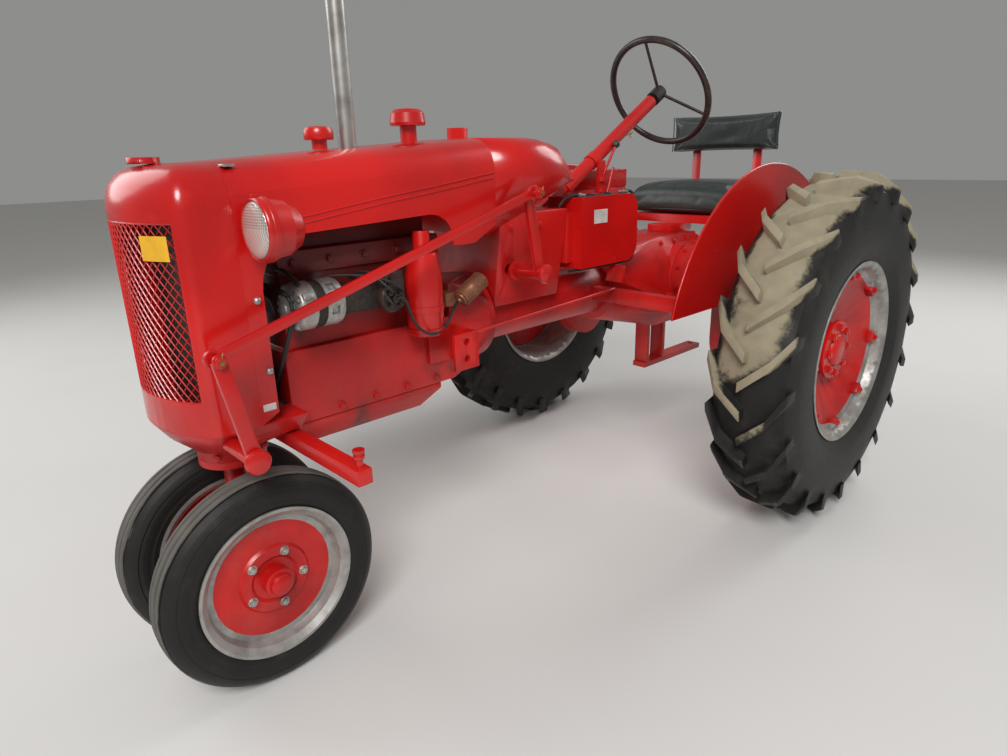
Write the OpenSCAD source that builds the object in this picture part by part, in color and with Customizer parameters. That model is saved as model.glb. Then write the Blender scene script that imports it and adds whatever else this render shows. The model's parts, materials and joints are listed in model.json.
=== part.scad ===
// Row-crop tractor with a narrow front, built forward from its rear axle.
// The front faces -Y, the driver's left is +X, and the ground is Z = 0.
// "ahead" is always the distance in front of the rear axle.

/* [Wheels] */
// Radius of a rear tyre over its lugs
rear_tyre_r = 633; // [600:1:680]
// Width of a rear tyre over its lugs
rear_tyre_w = 277; // [240:1:300]
// Height of a rear lug above the carcass
lug_h = 32; // [18:1:40]
// Lugs on each side of a rear tyre
lug_count = 20; // [14:1:24]
// Distance between the middles of the rear wheels
rear_tread = 1504; // [1440:1:1700]
// Radius of the rear rim over its flanges
rear_rim_r = 330; // [310:1:345]
// Radius of a front tyre
front_tyre_r = 297; // [280:1:310]
// Width of a front tyre
front_tyre_w = 110; // [95:1:125]
// Distance between the middles of the front wheels
front_tread = 272; // [262:1:320]
// Radius of the front rim over its flanges
front_rim_r = 208; // [195:1:220]

/* [Chassis] */
// Length of the gearbox ahead of the rear axle
gearbox_ahead = 450; // [420:1:500]
// Length of the gearbox behind the rear axle
gearbox_behind = 210; // [180:1:240]
// Length of the torque tube between gearbox and engine
torque_tube_len = 660; // [640:1:760]
// Outer radius of the torque tube
torque_tube_r = 100; // [85:1:115]
// Length of the engine with its clutch housing
engine_len = 690; // [690:1:760]
// Distance from the engine's front face to the steering spindle
spindle_ahead = 124; // [118:1:160]
// Height of the torque tube's middle line
tube_z = 840; // [820:1:860]
// Radius of the drawbar's pin hole
drawbar_hole_r = 11; // [8:0.5:14]
// Radius of the power take-off shaft
pto_r = 17.5; // [14:0.5:20]

/* [Bodywork] */
// Half width of the hood, the tank and the radiator shell
hood_half_w = 210; // [200:1:225]
// Height of the hood at its front
hood_z = 1345; // [1335:1:1380]
// Rise of the hood from the shell to the tank
hood_rise = 50; // [20:1:60]
// Thickness of the pressed sheet
sheet = 4; // [3:0.5:5]
// Gap where two sheets meet
seam = 0.3; // [0.2:0.1:0.6]
// Radius of the bow across the radiator shell's front
bow_r = 340; // [330:1:420]
// Radius of a fender plate
fender_r = 660; // [650:1:690]
// Distance of a fender plate from the middle of the tractor
fender_x = 500; // [480:1:520]

/* [Driver] */
// Radius of the steering wheel to the middle of its rim
steer_wheel_r = 216; // [190:1:230]
// Thickness radius of the steering wheel's rim
steer_rim_r = 13; // [10:0.5:16]
// Height of the steering wheel's hub
steer_hub_z = 1567; // [1540:1:1600]
// Slope of the steering column in degrees
column_slope = 31; // [28:0.5:34]
// Width of the seat cushion
seat_w = 520; // [440:1:560]
// Depth of the seat cushion
seat_d = 400; // [360:1:420]
// Height of the seat cushion's top
seat_z = 1215; // [1190:1:1240]

/* [Implement lift] */
// Length of a lift arm between its two pivots
lift_arm_len = 245; // [220:1:260]
// Lean of the lift arms towards the front, at rest
lift_lean = 11; // [6:0.5:14]
// Distance of the long rod from the middle of the tractor
lift_rod_x = 300; // [290:1:330]
// Radius of a pin in the lift linkage
lift_pin_r = 9; // [7:0.5:11]
// Running clearance round a pin
fit = 0.3; // [0.2:0.1:0.6]
// Side of the square bar that carries front tools
tool_bar = 38; // [32:1:44]

/* [Hidden] */
$fn = 48;

wheelbase = gearbox_ahead + torque_tube_len + engine_len + spindle_ahead;
rear_axle_y = (wheelbase + front_tyre_r - rear_tyre_r) / 2;
engine_rear = gearbox_ahead + torque_tube_len;
engine_front = engine_rear + engine_len;
shell_seam = engine_front + 120;
shell_nose = shell_seam + 180;
hood_rear = engine_rear + 30;
tank_rear = gearbox_ahead + 198;
tank_flange_z = 1262;
tank_round_ahead = gearbox_ahead + 450;
tank_round_len = tank_round_ahead - tank_rear;
tank_round_w = 200;
tank_round_h = 110;
shell_low_z = 745;
bow_y = shell_nose - bow_r;
corner_r = 35;
arch_front = engine_front + 75;
arch_rear = engine_rear + 212;
arch_top_z = 1190;
spindle_neck_z = 2 * front_tyre_r + 24;
flange_t = 18;
stub_x = front_tread / 2 - 18;
block_half_w = 118;
block_low_z = 680;
block_top_z = 880;
head_top_z = 1180;
grille_half_w = 165;
grille_low_z = 825;
grille_high_z = 1225;
exhaust_ahead = engine_front - 310;
exhaust_r = 24;
intake_ahead = engine_front - 516;
lamp_x = hood_half_w + 74;
gearbox_top_z = 1010;
axle_end_x = 525;
cushion_t = 140;
pan_t = 34;
pan_z = seat_z - cushion_t - seam - pan_t;
pad_t = 60;
support_rear = engine_rear - 365;
box_len = torque_tube_len - 340;
seat_front = -140;
seat_back = seat_front - 420;
column_r = 19;
rear_pivot_ahead = gearbox_ahead + 578;
rear_pivot_z = 997;
front_pivot_ahead = wheelbase + 69;
front_pivot_z = 714;
trumpet_z = rear_tyre_r + 222;
trumpet_r = 105;
case_r = 130;
case_x = 365;
case_w = 90;
fender_arch_r = case_r + 200;
foot_ahead = gearbox_ahead + 80;
foot_z = 850;

// Crown of the hood: inset from the side, height below the top
crown = [[0, 95], [4, 70], [14, 45], [34, 22], [64, 8], [110, 1]];

// Points along an arc round a middle, from one angle to another
function arc(middle, r, from, to, steps) =
    [for (i = [0 : steps]) let (a = from + (to - from) * i / steps)
        [middle[0] + r * cos(a), middle[1] + r * sin(a)]];

module at(ahead, x = 0, z = 0) translate([x, rear_axle_y - ahead, z]) children();

module mirror_if(right) mirror([right ? 1 : 0, 0, 0]) children();

// Cylinder along X that starts at x
module x_bar(r, x, len, r2 = undef) translate([x, 0, 0]) rotate([0, 90, 0])
    cylinder(h = len, r1 = r, r2 = is_undef(r2) ? r : r2);

// Cylinder along Y that starts at the front and runs back
module y_bar(r, len, r2 = undef) rotate([-90, 0, 0])
    cylinder(h = len, r1 = r, r2 = is_undef(r2) ? r : r2);

// Flat shape drawn in Y and Z, given a thickness along X
module plate_x(x, thick) translate([x, 0, 0]) rotate([90, 0, 90]) linear_extrude(thick) children();

// Flat shape drawn in X and Z, given a length along Y
module plate_y(len) translate([0, len, 0]) rotate([90, 0, 0]) linear_extrude(len) children();

// Plan outline of the radiator shell, drawn in by an inset
module shell_plan(inset, back) {
    reach = bow_r - corner_r - inset;
    corner_x = hood_half_w - corner_r - inset;
    tilt = acos(corner_x / reach);
    corner_ahead = bow_y + reach * sin(tilt);
    right = arc([corner_x, corner_ahead], corner_r, 0, tilt, 5);
    bow = arc([0, bow_y], bow_r - inset, tilt, 180 - tilt, 12);
    left = arc([-corner_x, corner_ahead], corner_r, 180 - tilt, 180, 5);
    half = hood_half_w - inset;
    mirror([0, 1, 0]) translate([0, -rear_axle_y])
        polygon(concat([[half, back]], right, bow, left, [[-half, back]]));
}

module shell_slab(inset, back, z) translate([0, 0, z]) linear_extrude(1) shell_plan(inset, back);

// Solid with the shell's outside, shrunk on every side by an inset
module shell_body(inset, back, low) hull() {
    shell_slab(inset, back, low);
    for (c = crown) shell_slab(inset + c[0], back, hood_z - inset - c[1] - 1);
}

// Cross-section of the hood in X and Z, down to a low edge
module hood_section(inset, low) {
    right = [for (c = crown) [hood_half_w - inset - c[0], max(hood_z - inset - c[1], low + 1)]];
    left = [for (i = [len(crown) - 1 : -1 : 0]) [-right[i][0], right[i][1]]];
    polygon(concat([[hood_half_w - inset, low]], right, left, [[-hood_half_w + inset, low]]));
}

module hood_slab(inset, low, ahead, rise) at(ahead, 0, rise) plate_y(1) hood_section(inset, low);

module radiator_shell() {
    color("firebrick") difference() {
        shell_body(0, shell_seam + seam, shell_low_z);
        translate([0, 0, -10]) shell_body(sheet, shell_seam - 20, shell_low_z);
        at(shell_nose + 10, -grille_half_w, grille_low_z)
            cube([2 * grille_half_w, 120, grille_high_z - grille_low_z]);
    }
    color("firebrick") at(shell_nose - 85, 0, hood_z - 2) cylinder(h = 14, r = 34);
}

module grille() color("firebrick") intersection() {
    difference() {
        at(bow_y, 0, grille_low_z + seam)
            cylinder(h = grille_high_z - grille_low_z - 2 * seam, r = bow_r - 1, $fn = 96);
        at(bow_y, 0, grille_low_z - 10) cylinder(h = 500, r = bow_r - sheet - 1, $fn = 96);
    }
    at(shell_nose + 10, -grille_half_w + seam, grille_low_z - 20)
        cube([2 * (grille_half_w - seam), 120, 500]);
}

module radiator_core() color("dimgray") at(shell_seam + 60, -185, shell_low_z)
    cube([370, 70, 515]);

module hood() color("firebrick") difference() {
    hull() {
        hood_slab(0, 1150 - hood_rise, hood_rear + 1, hood_rise);
        hood_slab(0, shell_low_z, shell_seam, 0);
    }
    hull() {
        hood_slab(sheet, 600, shell_seam + 2, 0);
        hood_slab(sheet, 600, hood_rear - 1, hood_rise);
    }
    at(0) plate_x(-hood_half_w - 5, 2 * hood_half_w + 10) arch_cut();
    at(exhaust_ahead, 0, hood_z - 40) cylinder(h = 120, r = exhaust_r + 8);
    at(intake_ahead, 0, hood_z - 40) cylinder(h = 120, r = exhaust_r + seam);
}

// Engine opening in the hood's sides, drawn in Y and Z
module arch_cut() mirror([1, 0]) polygon(concat(
    [[arch_rear - 250, 1112], [arch_rear - 60, 1104]],
    arc([arch_rear + 60, arch_top_z - 70], 76, 190, 90, 5),
    arc([arch_front - 120, arch_top_z - 130], 120, 90, 0, 6),
    [[arch_front, 500], [arch_rear - 250, 500]]));

module tank_body() {
    hull() for (a = [0 : 17 : 85]) let (drop = tank_round_h * (1 - cos(a)))
        hood_slab(tank_round_w * (1 - cos(a)), tank_flange_z - 2 - hood_rise + drop,
            tank_round_ahead - tank_round_len * sin(a), hood_rise - drop);
    hull() {
        hood_slab(0, tank_flange_z - 2 - hood_rise, hood_rear - seam, hood_rise);
        hood_slab(0, tank_flange_z - 2 - hood_rise, tank_round_ahead, hood_rise);
    }
    hull() {
        for (a = [0 : 17 : 85]) at(tank_round_ahead - tank_round_len * sin(a),
            tank_round_w * (1 - cos(a)) - hood_half_w, tank_flange_z - 4)
            cube([2 * hood_half_w - 2 * tank_round_w * (1 - cos(a)), 1, 4]);
        at(hood_rear - seam, -hood_half_w, tank_flange_z - 60) cube([2 * hood_half_w, 1, 60]);
        at(hood_rear - seam, -160, 1112) cube([320, 1, 10]);
        at(1000 - 450 + gearbox_ahead, -150, 1160) cube([300, 1, 10]);
        at(870 - 450 + gearbox_ahead, -110, 1218) cube([220, 1, 10]);
    }
}

module fuel_tank() color("firebrick") {
    difference() {
        tank_body();
        column_line() translate([0, 0, 60]) cylinder(h = 860, r = column_r + 6);
    }
    at(hood_rear - 42, 0, hood_z + hood_rise - 4) cylinder(h = 34, r = 32);
}

// Line of the steering column: Z runs from the wheel down to the front
module column_line() at(18, 0, steer_hub_z) rotate([90 + column_slope, 0, 0]) children();

module headlamp(right) color("firebrick") mirror_if(right) at(shell_seam - 15, lamp_x, 1204) {
    rotate([-90, 0, 0]) rotate_extrude() polygon([[0, -8], [50, 0], [67, 8], [70, 12], [70, 22],
        [66, 24], [60, 60], [44, 88], [22, 102], [0, 104]]);
    translate([0, 40, 0]) x_bar(14, hood_half_w - lamp_x + seam, 30);
}
module headlamp_left() headlamp(false);
module headlamp_right() headlamp(true);

module engine_block() color("firebrick") {
    at(engine_front, -block_half_w, block_low_z)
        cube([2 * block_half_w, engine_len - 150, block_top_z - block_low_z]);
    at(engine_front - 20, -95, block_top_z) cube([190, engine_len - 190, 190]);
    at(engine_front - 15, -105, 1070) cube([210, engine_len - 185, 60]);
    at(engine_front - 40, -70, 1130) cube([140, engine_len - 235, head_top_z - 1130]);
    hull() {
        at(engine_rear + 150, -block_half_w, block_low_z) cube([2 * block_half_w, 5, 300]);
        at(engine_rear + 5, 0, tube_z) y_bar(torque_tube_r + 45, 5 - seam);
    }
}

module oil_pan() color("firebrick") hull() {
    at(engine_front - 10, -112, 660) cube([224, engine_len - 200, block_low_z - 660 - seam]);
    at(engine_front - 60, -90, 612) cube([180, engine_len - 320, 20]);
}

module manifold() color("dimgray") {
    at(engine_front - 160, 95 + seam, 960) cube([65, 190, 70]);
    at(engine_front - 290, 95 + seam, 1000) cube([60, 60, 50]);
}

module alternator() color("silver") at(engine_front - 10, 175, 1005) {
    y_bar(60, 130);
    translate([0, -28, 0]) y_bar(24, 30);
    translate([-80 + seam, 30, -12]) cube([40, 60, 24]);
}

module fan() color("#202020") at(engine_front + 40, 0, 1010) {
    y_bar(28, 60 - seam);
    for (i = [0 : 3]) rotate([0, i * 90, 0]) translate([-22, 8, 20]) cube([44, 4, 120]);
}

module air_cleaner() color("firebrick") at(engine_front - 410, block_half_w + 53, 862) {
    cylinder(h = 160, r = 53 - seam);
    translate([0, 0, 160]) cylinder(h = 70, r1 = 53 - seam, r2 = 40);
    translate([0, 0, 230]) cylinder(h = 60, r = 24);
}

module exhaust_pipe() color("silver") at(exhaust_ahead, 0, head_top_z + seam)
    cylinder(h = 880, r = exhaust_r);

module intake_cap() color("firebrick") at(intake_ahead, 0, hood_z - 20) {
    cylinder(h = 115, r = exhaust_r);
    translate([0, 0, 105]) rotate_extrude() polygon([[0, 0], [50, 0], [52, 8], [48, 34], [36, 44], [0, 48]]);
}

module ignition_coil() color("sienna") at(engine_front - 530, 175, 935) {
    rotate([-60, 0, 0]) cylinder(h = 110, r = 28);
    translate([95 - 175 + seam, -35, -14]) cube([70, 43, 40]);
}

module front_pedestal() color("firebrick") difference() {
    union() {
        hull() {
            shell_slab(0, engine_front + seam, shell_low_z - seam - 1);
            shell_slab(30, engine_front + 10, 700);
            at(wheelbase, 0, spindle_neck_z + 30) cylinder(h = 1, r = 92, $fn = 32);
        }
        at(wheelbase, 0, spindle_neck_z) cylinder(h = 32, r = 85);
    }
    at(front_pivot_ahead, 0, front_pivot_z) x_bar(19 + fit, -300, 600);
    tool_bar_place(seam);
}

module front_spindle() color("firebrick") at(wheelbase, 0, 0) {
    translate([0, 0, spindle_neck_z - seam - flange_t]) cylinder(h = flange_t, r = 85);
    translate([0, 0, front_tyre_r - 20]) cylinder(h = spindle_neck_z - flange_t - front_tyre_r + 25, r = 30);
    translate([0, 0, front_tyre_r]) x_bar(24, -stub_x, 2 * stub_x);
}

// A wheel's disc, rim and hub, its middle at the origin and its outside at +X
module wheel(rim_r, rim_w, dish, hub_r, hub_x) {
    half = rim_w / 2;
    rotate([0, 90, 0]) rotate_extrude($fn = 72) polygon([
        [rim_r, -half], [rim_r, -half + 5], [rim_r - 16, -half + 10], [rim_r - 26, -half + 40],
        [rim_r - 26, half - 40], [rim_r - 16, half - 10], [rim_r, half - 5], [rim_r, half],
        [rim_r - 8, half], [rim_r - 24, half - 14], [rim_r - 32, half - 40],
        [rim_r - 32, -half + 40], [rim_r - 24, -half + 14], [rim_r - 8, -half]]);
    rotate([0, 90, 0]) rotate_extrude($fn = 72) polygon([
        [hub_r, dish], [rim_r - 28, half - 46], [rim_r - 28, half - 38], [hub_r, dish + 8]]);
    x_bar(hub_r + 1, hub_x[0], hub_x[1] - hub_x[0]);
}

module front_wheel(right) color("firebrick") mirror_if(right) at(wheelbase, front_tread / 2, front_tyre_r)
    wheel(front_rim_r, front_tyre_w - 6, 10, 38, [seam - 18, 50]);
module front_wheel_left() front_wheel(false);
module front_wheel_right() front_wheel(true);

module front_tyre(right) color("#202020") mirror_if(right) at(wheelbase, front_tread / 2, front_tyre_r)
    rotate([0, 90, 0]) rotate_extrude($fn = 64) {
        half = front_tyre_w / 2;
        polygon([[front_rim_r - 16 + seam, half - 13], [front_rim_r + 1, half - 9], [front_rim_r + 30, half],
            [front_tyre_r - 30, half - 2], [front_tyre_r - 8, half - 22], [front_tyre_r, half - 30],
            [front_tyre_r, -half + 30], [front_tyre_r - 8, -half + 22], [front_tyre_r - 30, -half + 2],
            [front_rim_r + 30, -half], [front_rim_r + 1, -half + 9], [front_rim_r - 16 + seam, -half + 13]]);
    }
module front_tyre_left() front_tyre(false);
module front_tyre_right() front_tyre(true);

module torque_tube() color("firebrick") at(engine_rear, 0, tube_z) {
    y_bar(torque_tube_r, torque_tube_len - seam);
    y_bar(torque_tube_r + 40, 22);
}

module tank_support() color("firebrick") difference() {
    hull() {
        at(engine_rear - 25, -130, tube_z + torque_tube_r - 60) cube([260, 300, 20]);
        at(engine_rear - 25, -170, 1160) cube([340, 310, 20]);
    }
    translate([0, 0, -seam]) tank_body();
    at(hood_rear, -300, 1170) cube([600, 500, 100]);
    at(engine_rear + 10, 0, tube_z) y_bar(torque_tube_r + seam, torque_tube_len);
    at(engine_rear + 10, 0, tube_z) y_bar(torque_tube_r + 40 + seam, 40);
    at(rear_pivot_ahead, 0, rear_pivot_z) x_bar(19 + fit, -300, 600);
    column_line() translate([0, 0, 60]) cylinder(h = 860 + seam, r = column_r + seam);
}

module gearbox() color("firebrick") {
    hull() {
        at(gearbox_ahead, 0, tube_z) y_bar(torque_tube_r + 30, 10, $fn = 32);
        at(140, -165, 700) cube([330, 280, 200]);
        at(140, -110, 640) cube([220, 280, gearbox_top_z - 640]);
    }
    at(0, 0, trumpet_z) x_bar(trumpet_r + 25, -172, 344);
    at(-gearbox_behind + 70, 0, 760) y_bar(60, 70);
    at(-gearbox_behind, 0, 760) y_bar(pto_r, 60);
    at(445, column_r, 955) cube([20, 50, 25]);
    for (ahead = [70, -50]) at(ahead, -32, 442) cube([64, 20, 200]);
}

module rear_axle(right) color("firebrick") mirror_if(right) {
    at(0, 0, trumpet_z) x_bar(trumpet_r + 20, 172 + seam, case_x - 172, trumpet_r - 10);
    hull() {
        at(0, 0, trumpet_z) x_bar(case_r, case_x, case_w, $fn = 32);
        at(0, 0, rear_tyre_r) x_bar(case_r, case_x, case_w, $fn = 32);
    }
    at(0, 0, rear_tyre_r) x_bar(50, case_x + case_w, axle_end_x - case_x - case_w);
    at(50, case_x + case_w - 30, trumpet_z + 80) cube([fender_x - seam - case_x - case_w + 30, 100, 130]);
}
module rear_axle_left() rear_axle(false);
module rear_axle_right() rear_axle(true);

module rear_wheel(right) color("firebrick") mirror_if(right) at(0, rear_tread / 2, rear_tyre_r)
    wheel(rear_rim_r, rear_tyre_w - 40, -20, 85, [axle_end_x + seam - rear_tread / 2, 10]);
module rear_wheel_left() rear_wheel(false);
module rear_wheel_right() rear_wheel(true);

// One stretch of a lug between two stations along it: x, angle, foot radius, top radius
function lug_ring(p, w) = [for (c = [[p[2], -w], [p[2], w], [p[3], w * 0.8], [p[3], -w * 0.8]])
    let (a = p[1] + c[1]) [p[0], c[0] * sin(a), c[0] * cos(a)]];

module lug() {
    r = rear_tyre_r;
    half = rear_tyre_w / 2;
    stations = [[-6, 0, r - 50, r], [half * 0.62, 7.5, r - 60, r - 5], [half, 16, r - 104, r - 44]];
    for (i = [0 : 1]) hull() polyhedron(
        concat(lug_ring(stations[i], 1.9), lug_ring(stations[i + 1], 1.9)),
        [[0, 1, 2, 3], [7, 6, 5, 4], [0, 4, 5, 1], [1, 5, 6, 2], [2, 6, 7, 3], [3, 7, 4, 0]]);
}

module rear_tyre(right) color("#202020") mirror_if(right) at(0, rear_tread / 2, rear_tyre_r) {
    half = rear_tyre_w / 2;
    base = rear_tyre_r - lug_h;
    steps = 48;
    seat_r = (rear_rim_r - 16 + seam) / cos(180 / steps);
    rotate([0, 90, 0]) rotate_extrude($fn = steps) polygon([
        [seat_r, half - 30], [seat_r + 17, half - 26], [rear_rim_r + 60, half - 2],
        [base - 110, half - 2], [base - 40, half - 16], [base - 8, half - 60], [base, 0],
        [base - 8, -half + 60], [base - 40, -half + 16], [base - 110, -half + 2],
        [rear_rim_r + 60, -half + 2], [seat_r + 17, -half + 26], [seat_r, -half + 30]]);
    pitch = 360 / lug_count;
    for (i = [0 : lug_count - 1]) {
        rotate([i * pitch, 0, 0]) lug();
        rotate([(i + 0.5) * pitch, 0, 0]) mirror([1, 0, 0]) lug();
    }
}
module rear_tyre_left() rear_tyre(false);
module rear_tyre_right() rear_tyre(true);

module fender(right) color("firebrick") mirror_if(right) difference() {
    at(0, 0, rear_tyre_r) x_bar(fender_r, fender_x, sheet);
    at(0, 0, rear_tyre_r) x_bar(fender_arch_r, fender_x - 5, sheet + 10);
    at(1000, fender_x - 5, -100) cube([20, 2000, foot_z + 60]);
}
module fender_left() fender(false);
module fender_right() fender(true);

module foot_rest(right) color("firebrick") mirror_if(right) {
    at(foot_ahead + 20, torque_tube_r + seam, foot_z - 35) cube([fender_x - seam - torque_tube_r - seam, 40, 50]);
    at(foot_ahead + 20, fender_x - 20, foot_z - 35) cube([20 - seam, 40, 130]);
}
module foot_rest_left() foot_rest(false);
module foot_rest_right() foot_rest(true);

module seat_frame() color("firebrick") {
    at(seat_front, -seat_w / 2 + 20, pan_z) cube([seat_w - 40, 420, pan_t]);
    for (x = [-155, 155]) at(seat_back, x - 20, pan_z) cube([40, 8, 420]);
    at(-30, -60, gearbox_top_z + seam) cube([120, 160, pan_z - gearbox_top_z]);
}

module seat_cushion() color("#202020") at(seat_front, -seat_w / 2, seat_z - cushion_t)
    cube([seat_w, seat_d, cushion_t]);

module back_pad() color("#202020") at(seat_back + pad_t + seam, -seat_w / 2 - 10, 1332)
    cube([seat_w + 20, pad_t, 170]);

module steering_column() color("firebrick") column_line()
    translate([0, 0, 60]) cylinder(h = 860, r = column_r);

module steering_wheel() color("#202020") column_line() {
    translate([0, 0, -10]) cylinder(h = 60, r = 28);
    translate([0, 0, 50]) cylinder(h = 10 - seam, r = 12);
    rotate_extrude($fn = 64) translate([steer_wheel_r, 0]) circle(steer_rim_r);
    for (i = [0 : 2]) rotate([0, 90, 90 + i * 120]) cylinder(h = steer_wheel_r, r = 6);
}

module battery_box() color("firebrick") at(support_rear, 55, 965) {
    difference() {
        cube([150, box_len, 220]);
        translate([sheet, sheet, sheet]) cube([150 - 2 * sheet, box_len - 2 * sheet, 230]);
    }
    translate([10, -30 + seam, 20]) cube([100, 30, 170]);
}

module battery() color("#202020") at(support_rear - sheet - seam, 55 + sheet + seam, 965 + sheet + seam)
    cube([150 - 2 * sheet - 2 * seam, box_len - 20, 230]);

module control_post() color("firebrick") {
    at(440, column_r + 4, 980 + seam) cube([10, 40, 335]);
    difference() {
        column_line() translate([0, 0, 470]) cylinder(h = 36, r = column_r + 10);
        column_line() translate([0, 0, 460]) cylinder(h = 60, r = column_r + seam);
    }
}

module lift_arm_rear() color("firebrick") at(rear_pivot_ahead, 0, rear_pivot_z) {
    x_bar(19, 172, 128);
    rotate([lift_lean, 0, 0]) {
        translate([270, -16, 0]) cube([14, 32, lift_arm_len]);
        translate([0, 0, lift_arm_len]) x_bar(lift_pin_r, 270, 52);
    }
}

module lift_arm_front() color("firebrick") at(front_pivot_ahead, 0, front_pivot_z) {
    x_bar(19, -280, 600);
    rotate([lift_lean, 0, 0]) {
        translate([314, -16, 0]) cube([14, 32, lift_arm_len]);
        translate([0, 0, lift_arm_len]) x_bar(lift_pin_r, 270, 44);
    }
}

module lift_rod() color("firebrick") {
    rise = lift_arm_len * cos(lift_lean);
    back = lift_arm_len * sin(lift_lean);
    run = front_pivot_ahead - rear_pivot_ahead;
    drop = rear_pivot_z - front_pivot_z;
    at(rear_pivot_ahead + back, lift_rod_x - 8, rear_pivot_z + rise) difference() {
        rotate([atan(drop / run), 0, 0]) {
            translate([0, -norm([run, drop]), -12]) cube([12, norm([run, drop]), 24]);
            x_bar(22, 0, 12);
            translate([0, -norm([run, drop]), 0]) x_bar(22, 0, 12);
        }
        x_bar(lift_pin_r + fit, -5, 30);
        translate([0, -run, -drop]) x_bar(lift_pin_r + fit, -5, 30);
    }
}

module tool_bar_place(gap) at(engine_front + 42 + gap, -490, 650 - gap)
    cube([980, tool_bar + 2 * gap, tool_bar + 2 * gap]);
module tool_bar_front() color("firebrick") tool_bar_place(0);

module side_bracket(right) color("firebrick") mirror_if(right)
    at(engine_rear + 242, block_half_w + seam, 750) difference() {
        cube([250 - block_half_w, 90, 108]);
        translate([12, -1, -1]) cube([250 - block_half_w - 24, 78, 160]);
        for (z = [32, 82]) translate([0, 45, z]) x_bar(11, 100, 80);
    }
module side_bracket_left() side_bracket(false);
module side_bracket_right() side_bracket(true);

module brake_pedals() color("firebrick") for (right = [0, 1]) mirror_if(right == 1)
    at(135, 165 + seam, trumpet_z - 95) {
        x_bar(28, 0, 30);
        rotate([-22, 0, 0]) {
            translate([0, -430, -12]) cube([14, 430, 24]);
            translate([0, -440, -30]) cube([70, 12, 60]);
        }
    }

module drawbar() color("firebrick") difference() {
    at(80, -32, 420) cube([64, 460, 22 - seam]);
    at(-350, 0, 410) cylinder(h = 50, r = drawbar_hole_r);
}

radiator_shell();
grille();
radiator_core();
hood();
fuel_tank();
headlamp_left();
headlamp_right();
engine_block();
oil_pan();
manifold();
alternator();
fan();
air_cleaner();
exhaust_pipe();
intake_cap();
ignition_coil();
front_pedestal();
front_spindle();
front_wheel_left();
front_wheel_right();
front_tyre_left();
front_tyre_right();
torque_tube();
tank_support();
gearbox();
rear_axle_left();
rear_axle_right();
rear_wheel_left();
rear_wheel_right();
rear_tyre_left();
rear_tyre_right();
fender_left();
fender_right();
foot_rest_left();
foot_rest_right();
seat_frame();
seat_cushion();
back_pad();
steering_column();
steering_wheel();
battery_box();
battery();
control_post();
lift_arm_rear();
lift_rod();
lift_arm_front();
tool_bar_front();
side_bracket_left();
side_bracket_right();
brake_pedals();
drawbar();
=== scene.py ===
import json
import math
import bpy
import bmesh
from mathutils import Matrix, Vector


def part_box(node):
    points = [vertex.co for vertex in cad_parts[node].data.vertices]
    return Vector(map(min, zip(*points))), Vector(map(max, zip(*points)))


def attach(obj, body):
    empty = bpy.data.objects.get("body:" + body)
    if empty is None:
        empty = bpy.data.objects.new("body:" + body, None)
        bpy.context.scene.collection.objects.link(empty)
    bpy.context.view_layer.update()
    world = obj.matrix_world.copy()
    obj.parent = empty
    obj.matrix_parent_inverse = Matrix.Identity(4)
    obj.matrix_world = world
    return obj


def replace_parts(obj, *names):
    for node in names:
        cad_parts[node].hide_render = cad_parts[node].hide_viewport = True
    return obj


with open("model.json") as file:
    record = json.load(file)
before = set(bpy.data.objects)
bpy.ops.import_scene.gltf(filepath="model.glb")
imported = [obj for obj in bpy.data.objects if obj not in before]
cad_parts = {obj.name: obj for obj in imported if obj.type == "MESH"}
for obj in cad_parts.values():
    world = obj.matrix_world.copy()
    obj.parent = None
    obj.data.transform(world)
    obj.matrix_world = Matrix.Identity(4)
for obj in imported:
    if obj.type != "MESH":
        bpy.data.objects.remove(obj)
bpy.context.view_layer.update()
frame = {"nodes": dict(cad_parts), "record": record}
nodes = frame["nodes"]
print("frame loaded")

# places that the pieces share, in metres
spots = {"rearAxle": 0.794, "wheelbase": 1.924, "frontHub": (0.136, 0.297), "rearHub": (0.752, 0.633)}
frontAxleY = spots["rearAxle"] - spots["wheelbase"]
frontCentre = (frontAxleY, spots["frontHub"][1])  # y and z of each axle
rearCentre = (spots["rearAxle"], spots["rearHub"][1])


def ahead(distance):  # y of a place that lies so far in front of the rear axle
    return spots["rearAxle"] - distance


class Wire:  # one value in a material
    def __init__(self, mat, end):
        self.mat, self.end = mat, end

    def sums(self, how, a, b):
        return self.mat.node("Math", {"operation": how}, {0: a, 1: b})

    def __add__(self, b): return self.sums("ADD", self, b)
    def __radd__(self, b): return self.sums("ADD", b, self)
    def __sub__(self, b): return self.sums("SUBTRACT", self, b)
    def __rsub__(self, b): return self.sums("SUBTRACT", b, self)
    def __mul__(self, b): return self.sums("MULTIPLY", self, b)
    def __rmul__(self, b): return self.sums("MULTIPLY", b, self)
    def __pow__(self, b): return self.sums("POWER", self, b)

    def out(self, name): return Wire(self.mat, self.end.node.outputs[name])


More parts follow.
